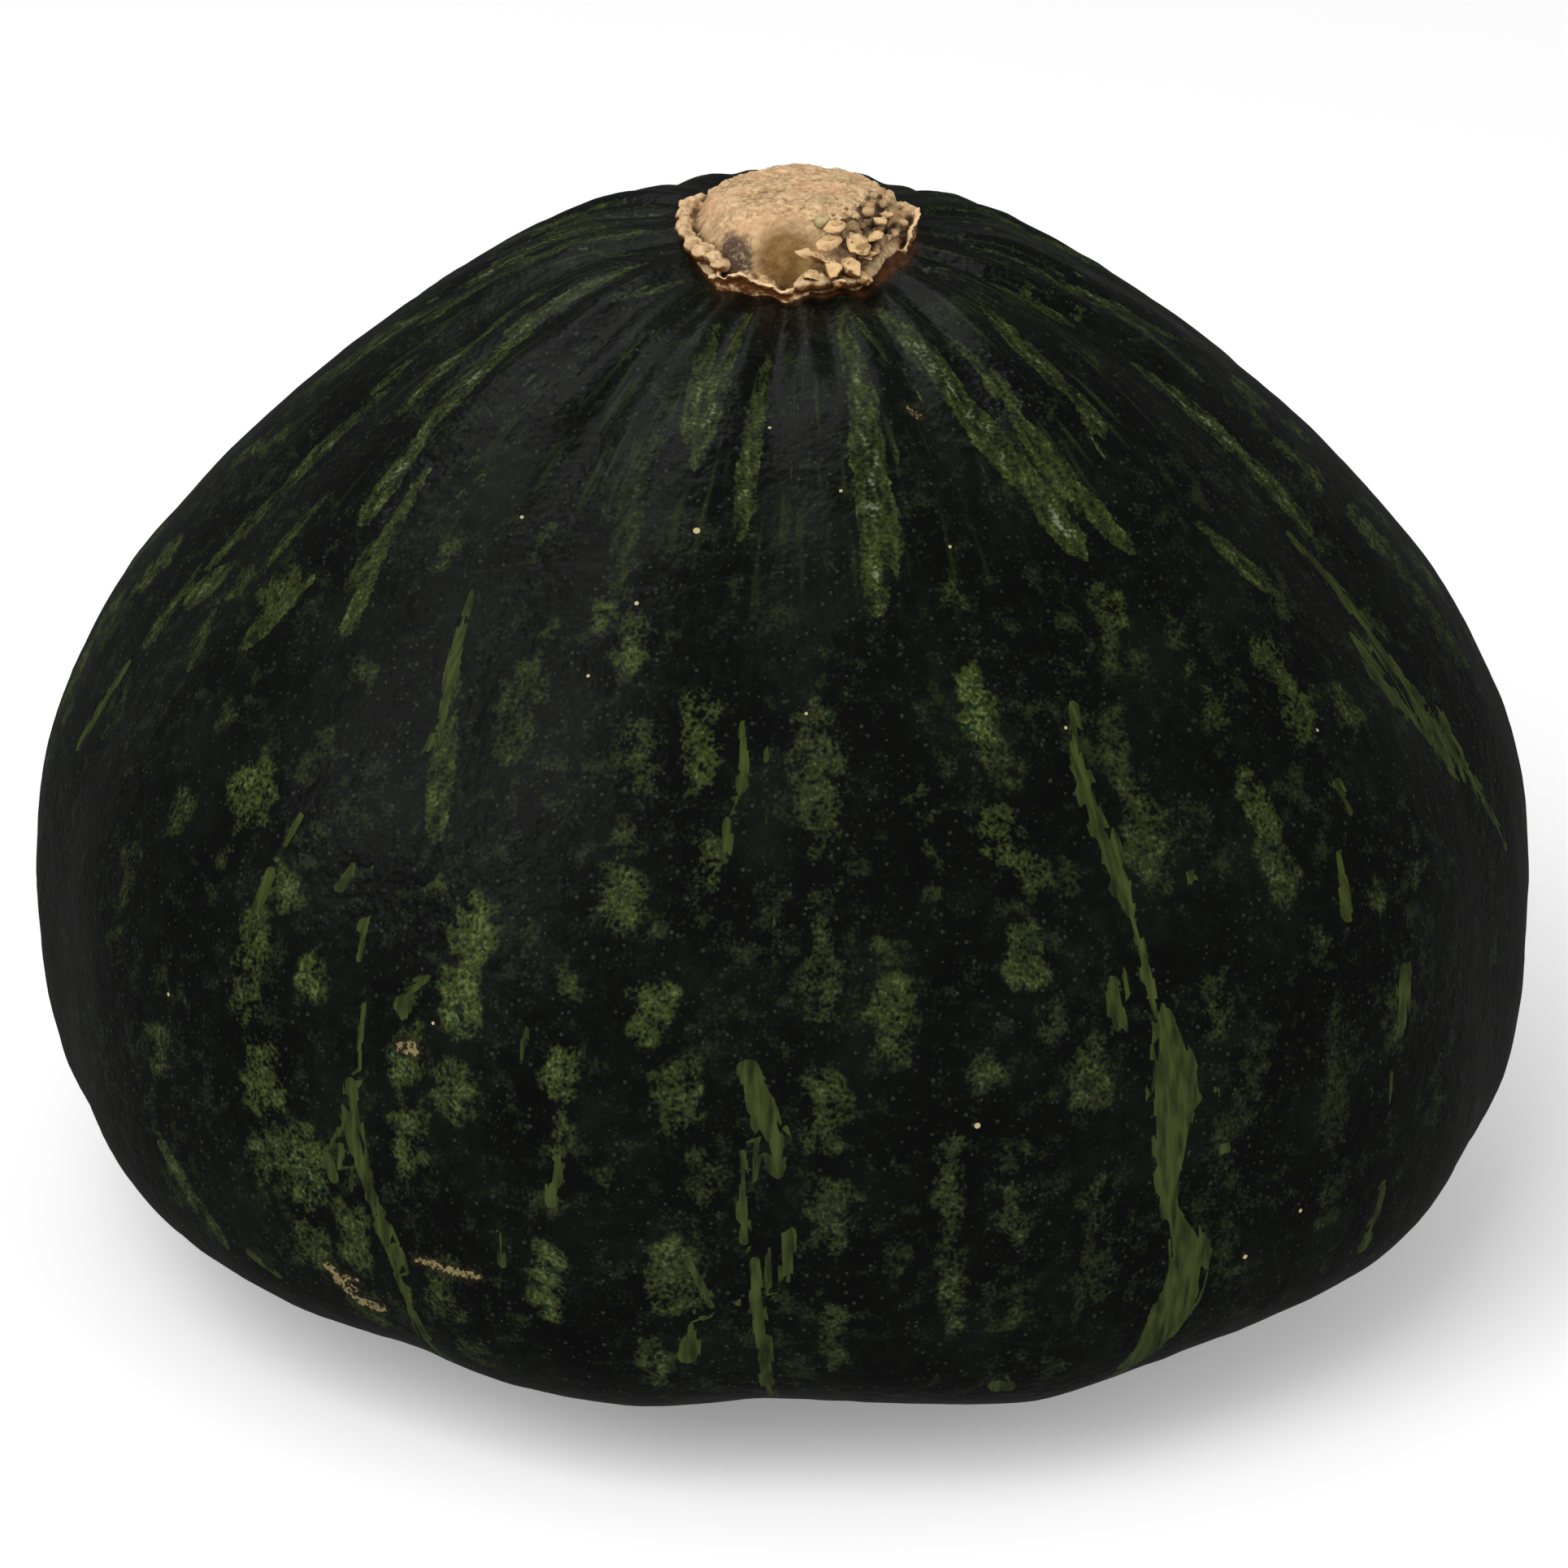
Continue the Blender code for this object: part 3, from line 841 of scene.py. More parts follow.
# %% [markdown]
# ## The dark rind
#
# The rind of a kabocha is nearly black, a green so dark that most of what one sees of it is a
# soft, waxy sheen. Its colour is far from even all the same: cloudy patches a little
# lighter, a faint green mottling, and everywhere fine pale pores, in crowds that thin out
# again. The clouds and the mottling come from the slow noises that the skin keeps for each
# point. A pore is a dot in a cell of a Voronoi pattern, and each cell's own random numbers
# say how large and how clear its pore is. Lengths are in millimetres on Object coordinates,
# so nothing stretches over the lobes.

# %% Dark skin and its pores
def colour(red, green, blue):
    """A colour of 0 to 255 per channel, as a screen shows it, made linear for the renderer."""
    parts = [channel / 255.0 for channel in (red, green, blue)]
    linear = [part / 12.92 if part <= 0.04045 else ((part + 0.055) / 1.055) ** 2.4 for part in parts]
    return (*linear, 1.0)


PORE_SPACING = 0.88
SMALLEST_PORE = 0.09
PORE_SPREAD = 0.14
NEAR_BLACK = colour(6, 7, 6)
MOTTLE_GREEN = colour(31, 37, 18)
DARK_GREEN = colour(15, 19, 12)
PORE_GREY = colour(54, 56, 48)


def dark_skin(graph, place, noises):
    """Base colour of the unmarked rind, with its pores."""
    mottle = noises["weather"]["X"] + noises["grain"] * 0.4 + noises["clump"] * 0.3
    base = graph.mix(graph.step(mottle, -0.6, 0.9), NEAR_BLACK, DARK_GREEN)
    faint = noises["ragged"]["X"] * 0.7 + noises["weather"]["Y"] * 0.5 + noises["clump"] * 0.6
    base = graph.mix(graph.step(faint + noises["grain"] * 0.8, 0.15, 1.3), base, MOTTLE_GREEN)
    pores = graph.cells(place, PORE_SPACING)
    chance = graph.channels(pores["Color"])
    size = chance["Green"] * PORE_SPREAD + SMALLEST_PORE
    seen = graph.step(chance["Red"] + noises["weather"]["Y"] * 0.4, 0.15, 0.9)
    dot = (1.0 - graph.step(pores["Distance"] * PORE_SPACING, size * 0.5, size * 1.5)) * seen
    return graph.mix(dot * 0.6, base, PORE_GREY)


# %% [markdown]
# ## Stripes and blotches
#
# Both are places where the rind has less dark pigment, and both are grainy: pale grains on
# the dark skin, crowded in a stripe and looser in a blotch, with gaps that stay dark. Grains
# are noise of half a millimetre. The stored depth says how likely a grain is to show, so the
# outline is ragged by itself, and slower noises make the stroke bulge and thin out. A blotch
# is netted with fine veins too, which lie where a noise is close to zero, and its hue drifts
# between a warm and a cold green. The closest grains of a stripe get a whitish painted
# highlight, and near the stem thin green lines run along the skin between the stripes.

# %% Stripes and blotches
STRIPE_GAP = colour(14, 18, 9)
STRIPE_GREEN = colour(42, 51, 19)
STRIPE_BRIGHT = colour(66, 76, 33)
# The whitish glint in a stripe's middle is a painted highlight.
STRIPE_GLINT = colour(112, 116, 100)
BLOTCH_TEAL = colour(20, 41, 22)
BLOTCH_GREEN = colour(51, 61, 19)
BLOTCH_DULL = colour(47, 44, 27)
BLOTCH_PALE = colour(88, 101, 55)


def stripes(graph, base, noises, along):
    """Paint the stripes, and thin lines near the stem. Returns the colour and where stripes are."""
    thin = graph.step(noises["lines"] + noises["weather"]["Y"] * 0.5, 0.25, 0.9)
    thin = thin * (1.0 - graph.step(along, 0.16, 0.32))
    base = graph.mix(thin * 0.6, base, STRIPE_GREEN)
    depth = graph.stored("stripe") + noises["ragged"]["X"] * 0.3 + noises["fine"] * 0.3
    cover = graph.step(depth + noises["grain"] * 0.2, -0.1, 0.15)
    cover = cover * graph.step(graph.stored("stripe_strength"), 0.0, 0.9)
    grain = noises["grain"] * 0.9 + noises["strands"] * 0.7 + graph.step(depth, 0.0, 1.4) * 0.2
    felt = graph.mix(graph.step(grain, -0.75, 0.45), STRIPE_GAP, STRIPE_GREEN)
    felt = graph.mix(graph.step(grain, 0.25, 1.1), felt, STRIPE_BRIGHT)
    # Painted highlight: the closest grains in the middle of a stripe are painted whitish, as a glint.
    heart = graph.step(depth, 0.4, 2.0) * 0.7 + noises["weather"]["Z"] * 0.6
    felt = graph.mix(graph.step(grain + heart, 0.9, 1.9) * 0.75, felt, STRIPE_GLINT)
    return graph.mix(cover, base, felt), cover


def blotches(graph, base, noises):
    """Paint the blotches over a base colour. Returns the colour and where they are."""
    edge = noises["ragged"]["Y"] * 1.2 + noises["clump"] * 0.7 + noises["fine"] * 0.4
    depth = graph.stored("blotch") + edge
    strength = graph.stored("blotch_strength")
    veins = 1.0 - graph.math("ABSOLUTE", noises["fine"]) * 2.4
    grain = noises["grain"] * 0.8 + veins * 0.5 + noises["clump"] * 0.35
    crowd = graph.step(depth, -0.8, 1.6) * 0.75 + strength * 0.4 + noises["weather"]["X"] * 0.45
    cover = graph.step(grain + crowd, 0.4, 1.6) * graph.step(depth, -0.6, 0.2)
    tint = noises["fine"] + noises["strands"] * 0.6 + noises["weather"]["Z"] * 0.4
    felt = graph.mix(graph.step(tint, -0.9, 0.1), BLOTCH_TEAL, BLOTCH_GREEN)
    felt = graph.mix(graph.step(tint, 0.2, 1.1) * (1.0 - strength * 0.6), felt, BLOTCH_DULL)
    felt = graph.mix(graph.step(grain + crowd, 1.45, 2.3) * 0.8, felt, BLOTCH_PALE)
    return graph.mix(cover * (0.15 + strength ** 1.4 * 0.85), base, felt), cover


# %% [markdown]
# ## Streaks, scars and the seat of the stem
#
# The clean streaks are where the rind split while it grew and healed with a thin pale skin.
# Their edges are sharp, with small steps like torn paper, and fine dark lines run along them.
# The steps come from cells laid across the streak: each cell moves the edge in or out by its
# own amount. A few scars have healed as tan cork. Around the stem the rind turns orange-brown,
# for which the skin keeps its distance from the stem's outline.

# %% Streaks and scars
STREAK_GREEN = colour(28, 36, 11)
STREAK_PALE = colour(58, 70, 25)
STREAK_LINE = colour(21, 26, 11)
SCAR_TAN = colour(118, 104, 66)
SCAR_BROWN = colour(34, 28, 17)
SPECK_CREAM = colour(176, 160, 116)


def offset_depth(graph, name):
    """How far inside a stroke a point is, and the stored offset and half width behind it."""
    offset = graph.parts(graph.stored(name, "Vector"))
    return offset["Z"] - graph.math("SQRT", offset["X"] ** 2 + offset["Y"] ** 2), offset


def streaks(graph, base, noises, flow):
    """Paint the clean streaks. Returns the colour, where they are, and how deep in one."""
    depth, offset = offset_depth(graph, "streak")
    blocks = graph.cells(graph.stretch(flow, (1.0, 1.0, 0.5)), 1.2, Randomness=0.8)
    torn = graph.channels(blocks["Color"])
    ragged = (torn["Red"] - 0.5) * 1.3 + noises["fine"] * 0.08
    near_edge = 1.0 - graph.step(depth, 0.9, 1.6)
    tear = ragged * graph.math("MINIMUM", offset["Z"], 1.0) * near_edge
    cover = graph.step(depth + tear, -0.02, 0.1)
    cover = cover * graph.step(offset["Z"], 0.0, 0.2)
    lines = graph.noise(graph.stretch(flow, (1.0, 1.0, 0.12)), size=0.6, detail=2.0, seed=33.0)
    shade = graph.step(lines + noises["strands"] * 0.3, -0.9, 0.9)
    skin = graph.mix(shade, STREAK_PALE, STREAK_GREEN)
    skin = graph.mix(graph.step(lines, 0.5, 0.95) * 0.7, skin, STREAK_LINE)
    return graph.mix(cover, base, skin), cover, depth


def scars_and_specks(graph, base, noises):
    """Paint the few corky scars and cream specks. Returns the colour and where scars are."""
    depth, _ = offset_depth(graph, "scar")
    ragged = depth + noises["fine"] * 0.45 + noises["grain"] * 0.5
    cork = graph.step(ragged, 0.0, 0.25) * graph.step(noises["grain"] + noises["clump"] * 0.5, -0.4, 0.3)
    rim = graph.step(ragged, -0.9, -0.1)
    skin = graph.mix(rim * 0.7, base, SCAR_BROWN)
    skin = graph.mix(cork, skin, SCAR_TAN)
    speck, _ = offset_depth(graph, "speck")
    return graph.mix(graph.step(speck, -0.04, 0.05), skin, SPECK_CREAM), cork


# %% [markdown]
# ## The stem's seat and the blossom scar
#
# The seat is found the way the strokes were: each point of the skin keeps its distance from
# the outline that the corky stem will have, a circle that bulges to the front with five soft
# corners. The same function shapes the stem later, so the two agree. Under the fruit, where
# the blossom fell off, is a patch of tan cork.

# %% The stem's outline and the distance from it
STEM_RADIUS = 13.5
STEM_FRONT_REACH = 3.0
STEM_CORNER_REACH = 0.4
STEM_CORNERS = 5
# The side to which the stub drained, in degrees, and how much narrower the stain is opposite.
SEAT_SIDE = 30.0
SEAT_LEAN = 1.5


def stem_reach(angle):
    """How far the stem's foot reaches from the core, by the angle from the front."""
    return STEM_RADIUS + STEM_FRONT_REACH * np.cos(angle) - STEM_CORNER_REACH * np.cos(STEM_CORNERS * angle)


def far_from_stem(places):
    """How far outside the stem's outline each point is along the skin, in millimetres.

    Away from the side where the stub drained it counts as farther, and is stained less."""
    around, along, _ = places
    drained = SEAT_LEAN * (1.0 - np.cos(around - math.radians(SEAT_SIDE))) / 2.0
    return np.clip(along * PROFILE_LENGTH - stem_reach(around) + drained, -REACH, 2 * REACH)


store(fruit.data, "seat", far_from_stem(places))
print("stem reaches", round(float(stem_reach(0.0)), 1), "mm to the front")

# %% Seat and blossom scar
SEAT_ORANGE = colour(78, 46, 22)
SEAT_BROWN = colour(34, 23, 13)
BLOSSOM_TAN = colour(150, 122, 82)
BLOSSOM_EDGE = (0.965, 0.972)


def seat_and_blossom(graph, base, noises, along):
    """Paint the orange-brown ring around the stem, and the cork where the blossom fell off."""
    away = graph.stored("seat") + noises["ragged"]["Z"] * 0.5 + noises["fine"] * 0.3
    skin = graph.mix((1.0 - graph.step(away, 0.8, 1.7)) * 0.8, base, SEAT_BROWN)
    damp = graph.step(noises["fine"] + noises["grain"] * 0.4, -0.5, 0.6)
    skin = graph.mix((1.0 - graph.step(away, 0.4, 0.9)) * (0.3 + damp * 0.7), skin, SEAT_ORANGE)
    blossom = graph.step(along + noises["ragged"]["Z"] * 0.003, *BLOSSOM_EDGE)
    return graph.mix(blossom, skin, BLOSSOM_TAN)


# %% The rind's material
# Lengths are in millimetres.
FLOW_RADIUS = 70.0
PEEL_HEIGHT = 0.065
HILL_HEIGHT = 0.045
HEALED_DROP = 0.06
WAX_ROUGHNESS = 0.33
SCAR_ROUGHNESS = 0.85


def rind_tree(material):
    """Layer the finishes of the rind and give it its soft, waxy sheen."""
    graph = finish_shader(material)
    place = graph.stretch(graph.node("ShaderNodeTexCoord", None, None, "Object"), (1 / MM,) * 3)
    skin = graph.stored("skin", "Vector")
    flow = graph.stretch(skin, (FLOW_RADIUS, FLOW_RADIUS, PROFILE_LENGTH))
    noises = {
        "weather": graph.parts(graph.stored("weather", "Vector")),
        "ragged": graph.parts(graph.stored("ragged", "Vector")),
        "fine": graph.noise(place, size=1.0, detail=1.0, seed=11.0),
        "grain": graph.noise(place, size=0.46, detail=1.0, seed=13.0, roughness=0.6),
        "clump": graph.noise(place, size=1.9, detail=0.0, seed=23.0),
        "strands": graph.noise(graph.stretch(flow, (0.7, 0.7, 0.35)), size=0.9, detail=0.0, seed=14.0),
        "lines": graph.noise(graph.stretch(flow, (1.0, 1.0, 0.12)), size=1.6, detail=1.0, seed=33.0),
    }
    paint = dark_skin(graph, place, noises)
    along = graph.parts(skin)["Z"]
    paint, stripe = stripes(graph, paint, noises, along)
    paint, blotch = blotches(graph, paint, noises)
    paint, streak, streak_depth = streaks(graph, paint, noises, flow)
    paint, scar = scars_and_specks(graph, paint, noises)
    paint = seat_and_blossom(graph, paint, noises, along)

    peel = graph.noise(place, size=1.2, detail=1.0, seed=61.0)
    hills = graph.noise(place, size=3.2, detail=0.0, seed=62.0)
    rough_patch = 0.4 + graph.step(noises["weather"]["Z"], -0.6, 0.6)
    healed = graph.step(streak_depth, -0.2, 0.2)
    relief = (peel * PEEL_HEIGHT + hills * HILL_HEIGHT) * rough_patch * (1.0 - healed * 0.7)
    bump = {"Height": relief - healed * HEALED_DROP, "Strength": 1.0, "Distance": MM}
    rough = WAX_ROUGHNESS + noises["weather"]["X"] * 0.05
    rough = rough + blotch * 0.08 + stripe * 0.06 + streak * 0.05
    end_finish(graph, {
        "Base Color": paint,
        "Roughness": graph.math("MAXIMUM", rough, scar * SCAR_ROUGHNESS),
        "Normal": graph.node("ShaderNodeBump", None, bump),
        "Specular IOR Level": 0.3,
    })
    return graph


print("rind finish has", len(rind_tree(rind).tree.nodes), "nodes")

# %% [markdown]
# ## The corky stem
#
# The stalk was cut off short, and the stub dried to a low button of cork: a grainy, nearly
# level top, a hollow sunk in its front face, rounded nodules around the foot, a thin curled
# peel along the front and the right edge, and a heap of broken shards. It is built the way a
# potter would model it, from simple lumps pressed together: a turned button for the body,
# nodules strung along the rim, shards and crumbs laid on it. A voxel remesh then melts what
# grew together into one closed skin. First the foot has to know how high the rind is, so
# rays are dropped on it.

# %% The rind's height under the stem
STEM_HEIGHT = 4.75
BREAK = {"angle": 50.0, "width": 26.0, "depth": 2.0}
CORE_X = SKIN_SIZES["Core bow"] * abs(PROFILE[0][1] / SKIN_SIZES["Mid height"] - 1.0) ** 3
CROWN_HEIGHT = PROFILE[0][1]

rind_tree_of_faces = BVHTree.FromPolygons(
    [vertex.co / MM for vertex in fruit.data.vertices],
    [face.vertices for face in fruit.data.polygons],
)


def rind_height(x, y):
    """Height of the rind at a place near the crown, in millimetres."""
    hit = rind_tree_of_faces.ray_cast(Vector((x, y, 2 * CROWN_HEIGHT)), Vector((0, 0, -1)))
    return hit[0].z


def degrees_between(angle, middle):
    """How far an angle is from another, from -180 to 180 degrees."""
    return (angle - middle + 180) % 360 - 180


def broken_reach(turn):
    """The stem's reach, less where a piece has broken off its right front edge."""
    sideways = degrees_between(np.degrees(turn), BREAK["angle"])
    return stem_reach(turn) - BREAK["depth"] * np.exp(-(sideways / BREAK["width"]) ** 2)


def stem_place(angle, share, height):
    """A place on the stem: angle from the front, share of its reach, height over the rind.

    The higher it is, the more it counts from the level of the crown instead."""
    turn = math.radians(angle)
    reach = share * float(broken_reach(turn))
    x = CORE_X + reach * math.sin(turn)
    y = -reach * math.cos(turn)
    ground = rind_height(x, y)
    level = min(max(height / STEM_HEIGHT, 0.0), 1.0)
    return Vector((x, y, ground + level * (CROWN_HEIGHT - ground) + height))


print("rind at the stem's front edge is", round(stem_place(0, 1, 0).z, 1), "mm high")

# %% The button
# Share of the reach, and height over the rind in millimetres.
BUTTON_SECTION = (
    (0.0, 4.75),
    (0.25, 4.75),
    (0.42, 4.65),
    (0.56, 4.4),
    (0.67, 3.95),
    (0.75, 3.1),
    (0.81, 2.1),
    (0.87, 1.3),
    (0.93, 0.8),
    (0.98, 0.3),
    (1.0, -0.3),
)
UNDERSIDE = -0.6
UNDERSIDE_RINGS = (0.75, 0.5, 0.25)
STEM_SECTORS = 180
SECTION_STEPS = 4
HOLLOW = {"angle": -7.0, "width": 18.0, "share": 0.80, "length": 0.14, "depth": 1.2}


def closed_turning(rings, top, bottom):
    """A closed mesh from rings of points, with a point above and a point below."""
    sectors = len(rings[0])
    points = [top] + [point for ring in rings for point in ring] + [bottom]
    faces = []
    for sector in range(sectors):
        beside = (sector + 1) % sectors
        faces.append((0, 1 + sector, 1 + beside))
        for ring in range(len(rings) - 1):
            start = 1 + ring * sectors
            below = start + sectors
            faces.append((start + sector, below + sector, below + beside, start + beside))
        last = 1 + (len(rings) - 1) * sectors
        faces.append((last + sector, len(points) - 1, last + beside))
    return points, faces


def spot(angle, share, place):
    """1 in the middle of a patch on the stem, falling to 0 around it."""
    sideways = degrees_between(angle, place["angle"]) / place["width"]
    inwards = (share - place["share"]) / place["length"]
    return np.exp(-sideways ** 2 - inwards ** 2)


def button():
    """The turned body of the stem, hollowed at the front: points in millimetres and faces."""
    angles = np.linspace(0.0, 360.0, STEM_SECTORS, endpoint=False)
    section = smooth_curve(BUTTON_SECTION, SECTION_STEPS)[1:]
    rings = []
    for share, height in section:
        heights = height - HOLLOW["depth"] * spot(angles, share, HOLLOW)
        rings.append([stem_place(angle, share, low) for angle, low in zip(angles, heights)])
    for share in UNDERSIDE_RINGS:
        rings.append([stem_place(angle, share, UNDERSIDE) for angle in angles])
    return closed_turning(rings, stem_place(0, 0, STEM_HEIGHT), stem_place(0, 0, UNDERSIDE))


lumps = {"button": [button()]}
print("button has", len(lumps["button"][0][0]), "points")

# %% [markdown]
# ## Nodules and crumbs
#
# Nodules sit in a row, so they are Geometry Nodes: a path becomes points, and each point
# carries a small sphere with its own size, stretch and turn. The same tree strings round
# nodules along the foot, the largest at the front and the smallest at the back, and coarse
# crumbs over the right-hand wall and its foot, where a sphere of only twenty faces leaves
# them angular like broken cork. The crumbs of the wall follow a path that winds up and down.

# %% Lumps strung along a path
ARC_STEP = 4
# The path over the wall: its angles, then the middle and the swing of its share and height.
WALL_ANGLES = {"start": 26, "turn": 0.9, "steps": 70, "pace": 0.9}
WALL_SWINGS = {"share": (0.74, 0.11), "height": (2.9, -0.8)}
# The least depth and height of a lump as shares of its length, and how much more they can be.
LUMP_DEPTH = (0.65, 0.3)
LUMP_HEIGHT = (0.55, 0.35)
LUMP_TILT = 0.6
LUMP_SIZES = {"Count": 10, "Smallest": 1.0, "Largest": 1.5, "Roundness": 3, "Scatter": 0.2, "Seed": 1}


def lump_tree():
    """A geometry tree that strings lumps along a path."""
    graph, entry = growth("lumps", LUMP_SIZES)
    path = graph.node("GeometryNodeMeshToCurve", None, {0: entry["Geometry"]})
    spots = graph.node("GeometryNodeCurveToPoints", None, {"Curve": path, "Count": entry["Count"]})

    def chance(low, high, seed):
        settings = {"data_type": "FLOAT_VECTOR"}
        inputs = {0: low, 1: high, "Seed": entry["Seed"] + seed}
        return graph.node("FunctionNodeRandomValue", settings, inputs)

    shake = graph.node("ShaderNodeVectorMath", {"operation": "SCALE"}, {
        0: chance((-1.0, -1.0, -0.5), (1.0, 1.0, 0.5), 0.0),
        "Scale": entry["Scatter"],
    })
    moved = graph.node("GeometryNodeSetPosition", None, {"Geometry": spots, "Offset": shake})
    lump = graph.node("GeometryNodeMeshIcoSphere", None, {0: 1.0, 1: entry["Roundness"]})
    size_span = entry["Largest"] - entry["Smallest"]
    share = graph.parts(chance((0.0,) * 3, (1.0,) * 3, 1.0))
    size = entry["Smallest"] + size_span * share["X"]
    depth = size * (LUMP_DEPTH[0] + LUMP_DEPTH[1] * share["Y"])
    height = size * (LUMP_HEIGHT[0] + LUMP_HEIGHT[1] * share["Z"])
    stretch = graph.vector(size, depth, height)
    turn = chance((-LUMP_TILT, -LUMP_TILT, 0.0), (LUMP_TILT, LUMP_TILT, 2 * math.pi), 2.0)
    inputs = {"Points": moved, "Instance": lump, "Rotation": turn, "Scale": stretch}
    strung = graph.node("GeometryNodeInstanceOnPoints", None, inputs)
    end_growth(graph, strung, cork)
    return graph


def taken_apart(thing):
    """The plain points and faces of an object, which is then removed."""
    mesh = thing.evaluated_get(bpy.context.evaluated_depsgraph_get()).to_mesh()
    points = [vertex.co.copy() for vertex in mesh.vertices]
    faces = [tuple(face.vertices) for face in mesh.polygons]
    bpy.data.objects.remove(thing)
    return points, faces


def lump_string(name, stations, **sizes):
    """Lumps along a path through stations on the stem. Gives points and faces."""
    path = polyline_mesh(name, [stem_place(*station) for station in stations])
    return taken_apart(grow(name, lump_graph, {**LUMP_SIZES, **sizes}, path))


def arc(start, end, share, height):
    """Stations on the stem from one angle to another."""
    count = max((end - start) // ARC_STEP, 2)
    return [(angle, share, height) for angle in np.linspace(start, end, count)]


def winding_path(start, turn, steps, pace, share, height):
    """Stations on a path that winds up and down."""
    stations = []
    for step in range(steps):
        wave = math.sin(step * pace)
        stations.append((start + turn * step, share[0] + share[1] * wave, height[0] + height[1] * wave))
    return stations


cork = bpy.data.materials.new("cork")
lump_graph = lump_tree()
lumps["nodules"] = [
    lump_string("left_nodules", arc(-112, -50, 0.99, 1.2), Count=14, Smallest=0.85, Largest=1.35, Seed=3),
    lump_string("front_nodules", arc(-47, -35, 0.96, 1.3), Count=3, Smallest=1.4, Largest=1.75, Seed=5),
    lump_string("right_nodules", arc(3, 27, 1.0, 0.8), Count=7, Smallest=1.1, Largest=1.7, Seed=8),
    lump_string("back_nodules", arc(96, 262, 0.97, 0.9), Count=44, Smallest=0.7, Largest=1.3, Seed=11),
]
angular = {"Smallest": 0.5, "Roundness": 1}
wall_path = winding_path(**WALL_ANGLES, **WALL_SWINGS)
lumps["crumbs"] = [
    lump_string("wall_crumbs", wall_path, Count=95, Largest=1.2, Scatter=0.5, Seed=21, **angular),
    lump_string("foot_crumbs", arc(28, 76, 0.93, 1.3), Count=26, Largest=1.1, Seed=25, **angular),
]

# %% [markdown]
# ## Shards, peel and knob
#
# The broken shards at the front right are few and each has its own shape, so they are listed
# one by one: a shard is the convex hull of two small ragged ends and a thick ragged middle. The
# peel is a thin strip that stands up from the foot and curls outwards, at the front and again
# on the right, and a Solidify modifier makes it thick. A greenish knob, the last soft fibre
# of the stalk, sits on the top's edge.

# %% Shards of broken cork
# Angle, share, height of the middle; length, width, thickness; turn and tilt in degrees.
SHARDS = (
    (5, 0.95, 2.4, 4.4, 1.9, 1.2, -24, 8),
    (14, 0.90, 3.0, 3.2, 2.5, 1.5, 22, -10),
    (18, 0.83, 3.8, 2.6, 1.7, 1.2, 8, -12),
    (27, 0.95, 2.8, 4.2, 2.3, 0.8, -58, 22),
    (13, 1.02, 1.8, 3.3, 2.0, 1.5, -80, 34),
    (21, 1.04, 1.7, 3.3, 2.0, 1.5, -52, 32),
    (32, 1.02, 1.9, 2.1, 1.6, 1.2, 30, 0),
    (5, 1.03, 1.4, 2.4, 1.7, 1.2, 60, 12),
    (16, 1.09, 0.9, 2.6, 1.8, 1.3, 100, 24),
    (26, 1.07, 1.0, 2.3, 1.6, 1.3, 10, 0),
    (40, 0.94, 2.5, 2.6, 1.3, 0.9, 40, -15),
    (51, 0.90, 2.9, 2.6, 1.5, 0.8, 80, 14),
    (62, 0.88, 2.9, 2.8, 1.3, 0.8, 112, 12),
)
SHARD_WEAR = 0.12
# Share of the length and fullness there, from end to end, and the corners at each place.
SHARD_PLACES = ((-0.5, 0.35), (-0.2, 0.9), (0.15, 1.0), (0.5, 0.3))
SHARD_CORNERS = ((-0.5, -0.4), (0.5, -0.5), (0.5, 0.4), (-0.4, 0.5))
RAGGED_ENDS = 0.06
RAGGED_SIDES = 0.2


def points_and_faces(shape):
    """The plain points and faces of an edit mesh, which is then freed."""
    shape.verts.index_update()
    points = [vertex.co.copy() for vertex in shape.verts]
    faces = [tuple(vertex.index for vertex in face.verts) for face in shape.faces]
    shape.free()
    return points, faces


def hull(points):
    """The convex hull of some points, with its edges a little worn."""
    shape = bmesh.new()
    for point in points:
        shape.verts.new(point)
    result = bmesh.ops.convex_hull(shape, input=shape.verts)
    loose = [item for item in result["geom_interior"] if isinstance(item, bmesh.types.BMVert)]
    bmesh.ops.delete(shape, geom=loose, context="VERTS")
    bmesh.ops.dissolve_limit(shape, angle_limit=0.2, verts=shape.verts, edges=shape.edges)
    wear = {"offset": SHARD_WEAR, "segments": 1, "profile": 0.5, "clamp_overlap": True}
    bmesh.ops.bevel(shape, geom=shape.edges, affect="EDGES", **wear)
    bmesh.ops.triangulate(shape, faces=shape.faces)
    bmesh.ops.subdivide_edges(shape, edges=shape.edges, cuts=2, use_grid_fill=True)
    return points_and_faces(shape)


def shard(rng, angle, share, height, length, width, thickness, turn, tilt):
    """One angular chip of cork, with two thin ends."""
    points = []
    for along, fullness in SHARD_PLACES:
        for side, up in SHARD_CORNERS:
            x = (along + rng.uniform(-RAGGED_ENDS, RAGGED_ENDS)) * length
            y = (side + rng.uniform(-RAGGED_SIDES, RAGGED_SIDES)) * width * fullness
            z = (up + rng.uniform(-RAGGED_SIDES, RAGGED_SIDES)) * thickness * fullness
            points.append(Vector((x, y, z)))
    pose = Euler((0.0, math.radians(tilt), math.radians(turn))).to_matrix()
    middle = stem_place(angle, share, height)
    return hull([pose @ point + middle for point in points])


rng = np.random.default_rng(5)
lumps["shards"] = [shard(rng, *sizes) for sizes in SHARDS]
print(len(lumps["shards"]), "shards")

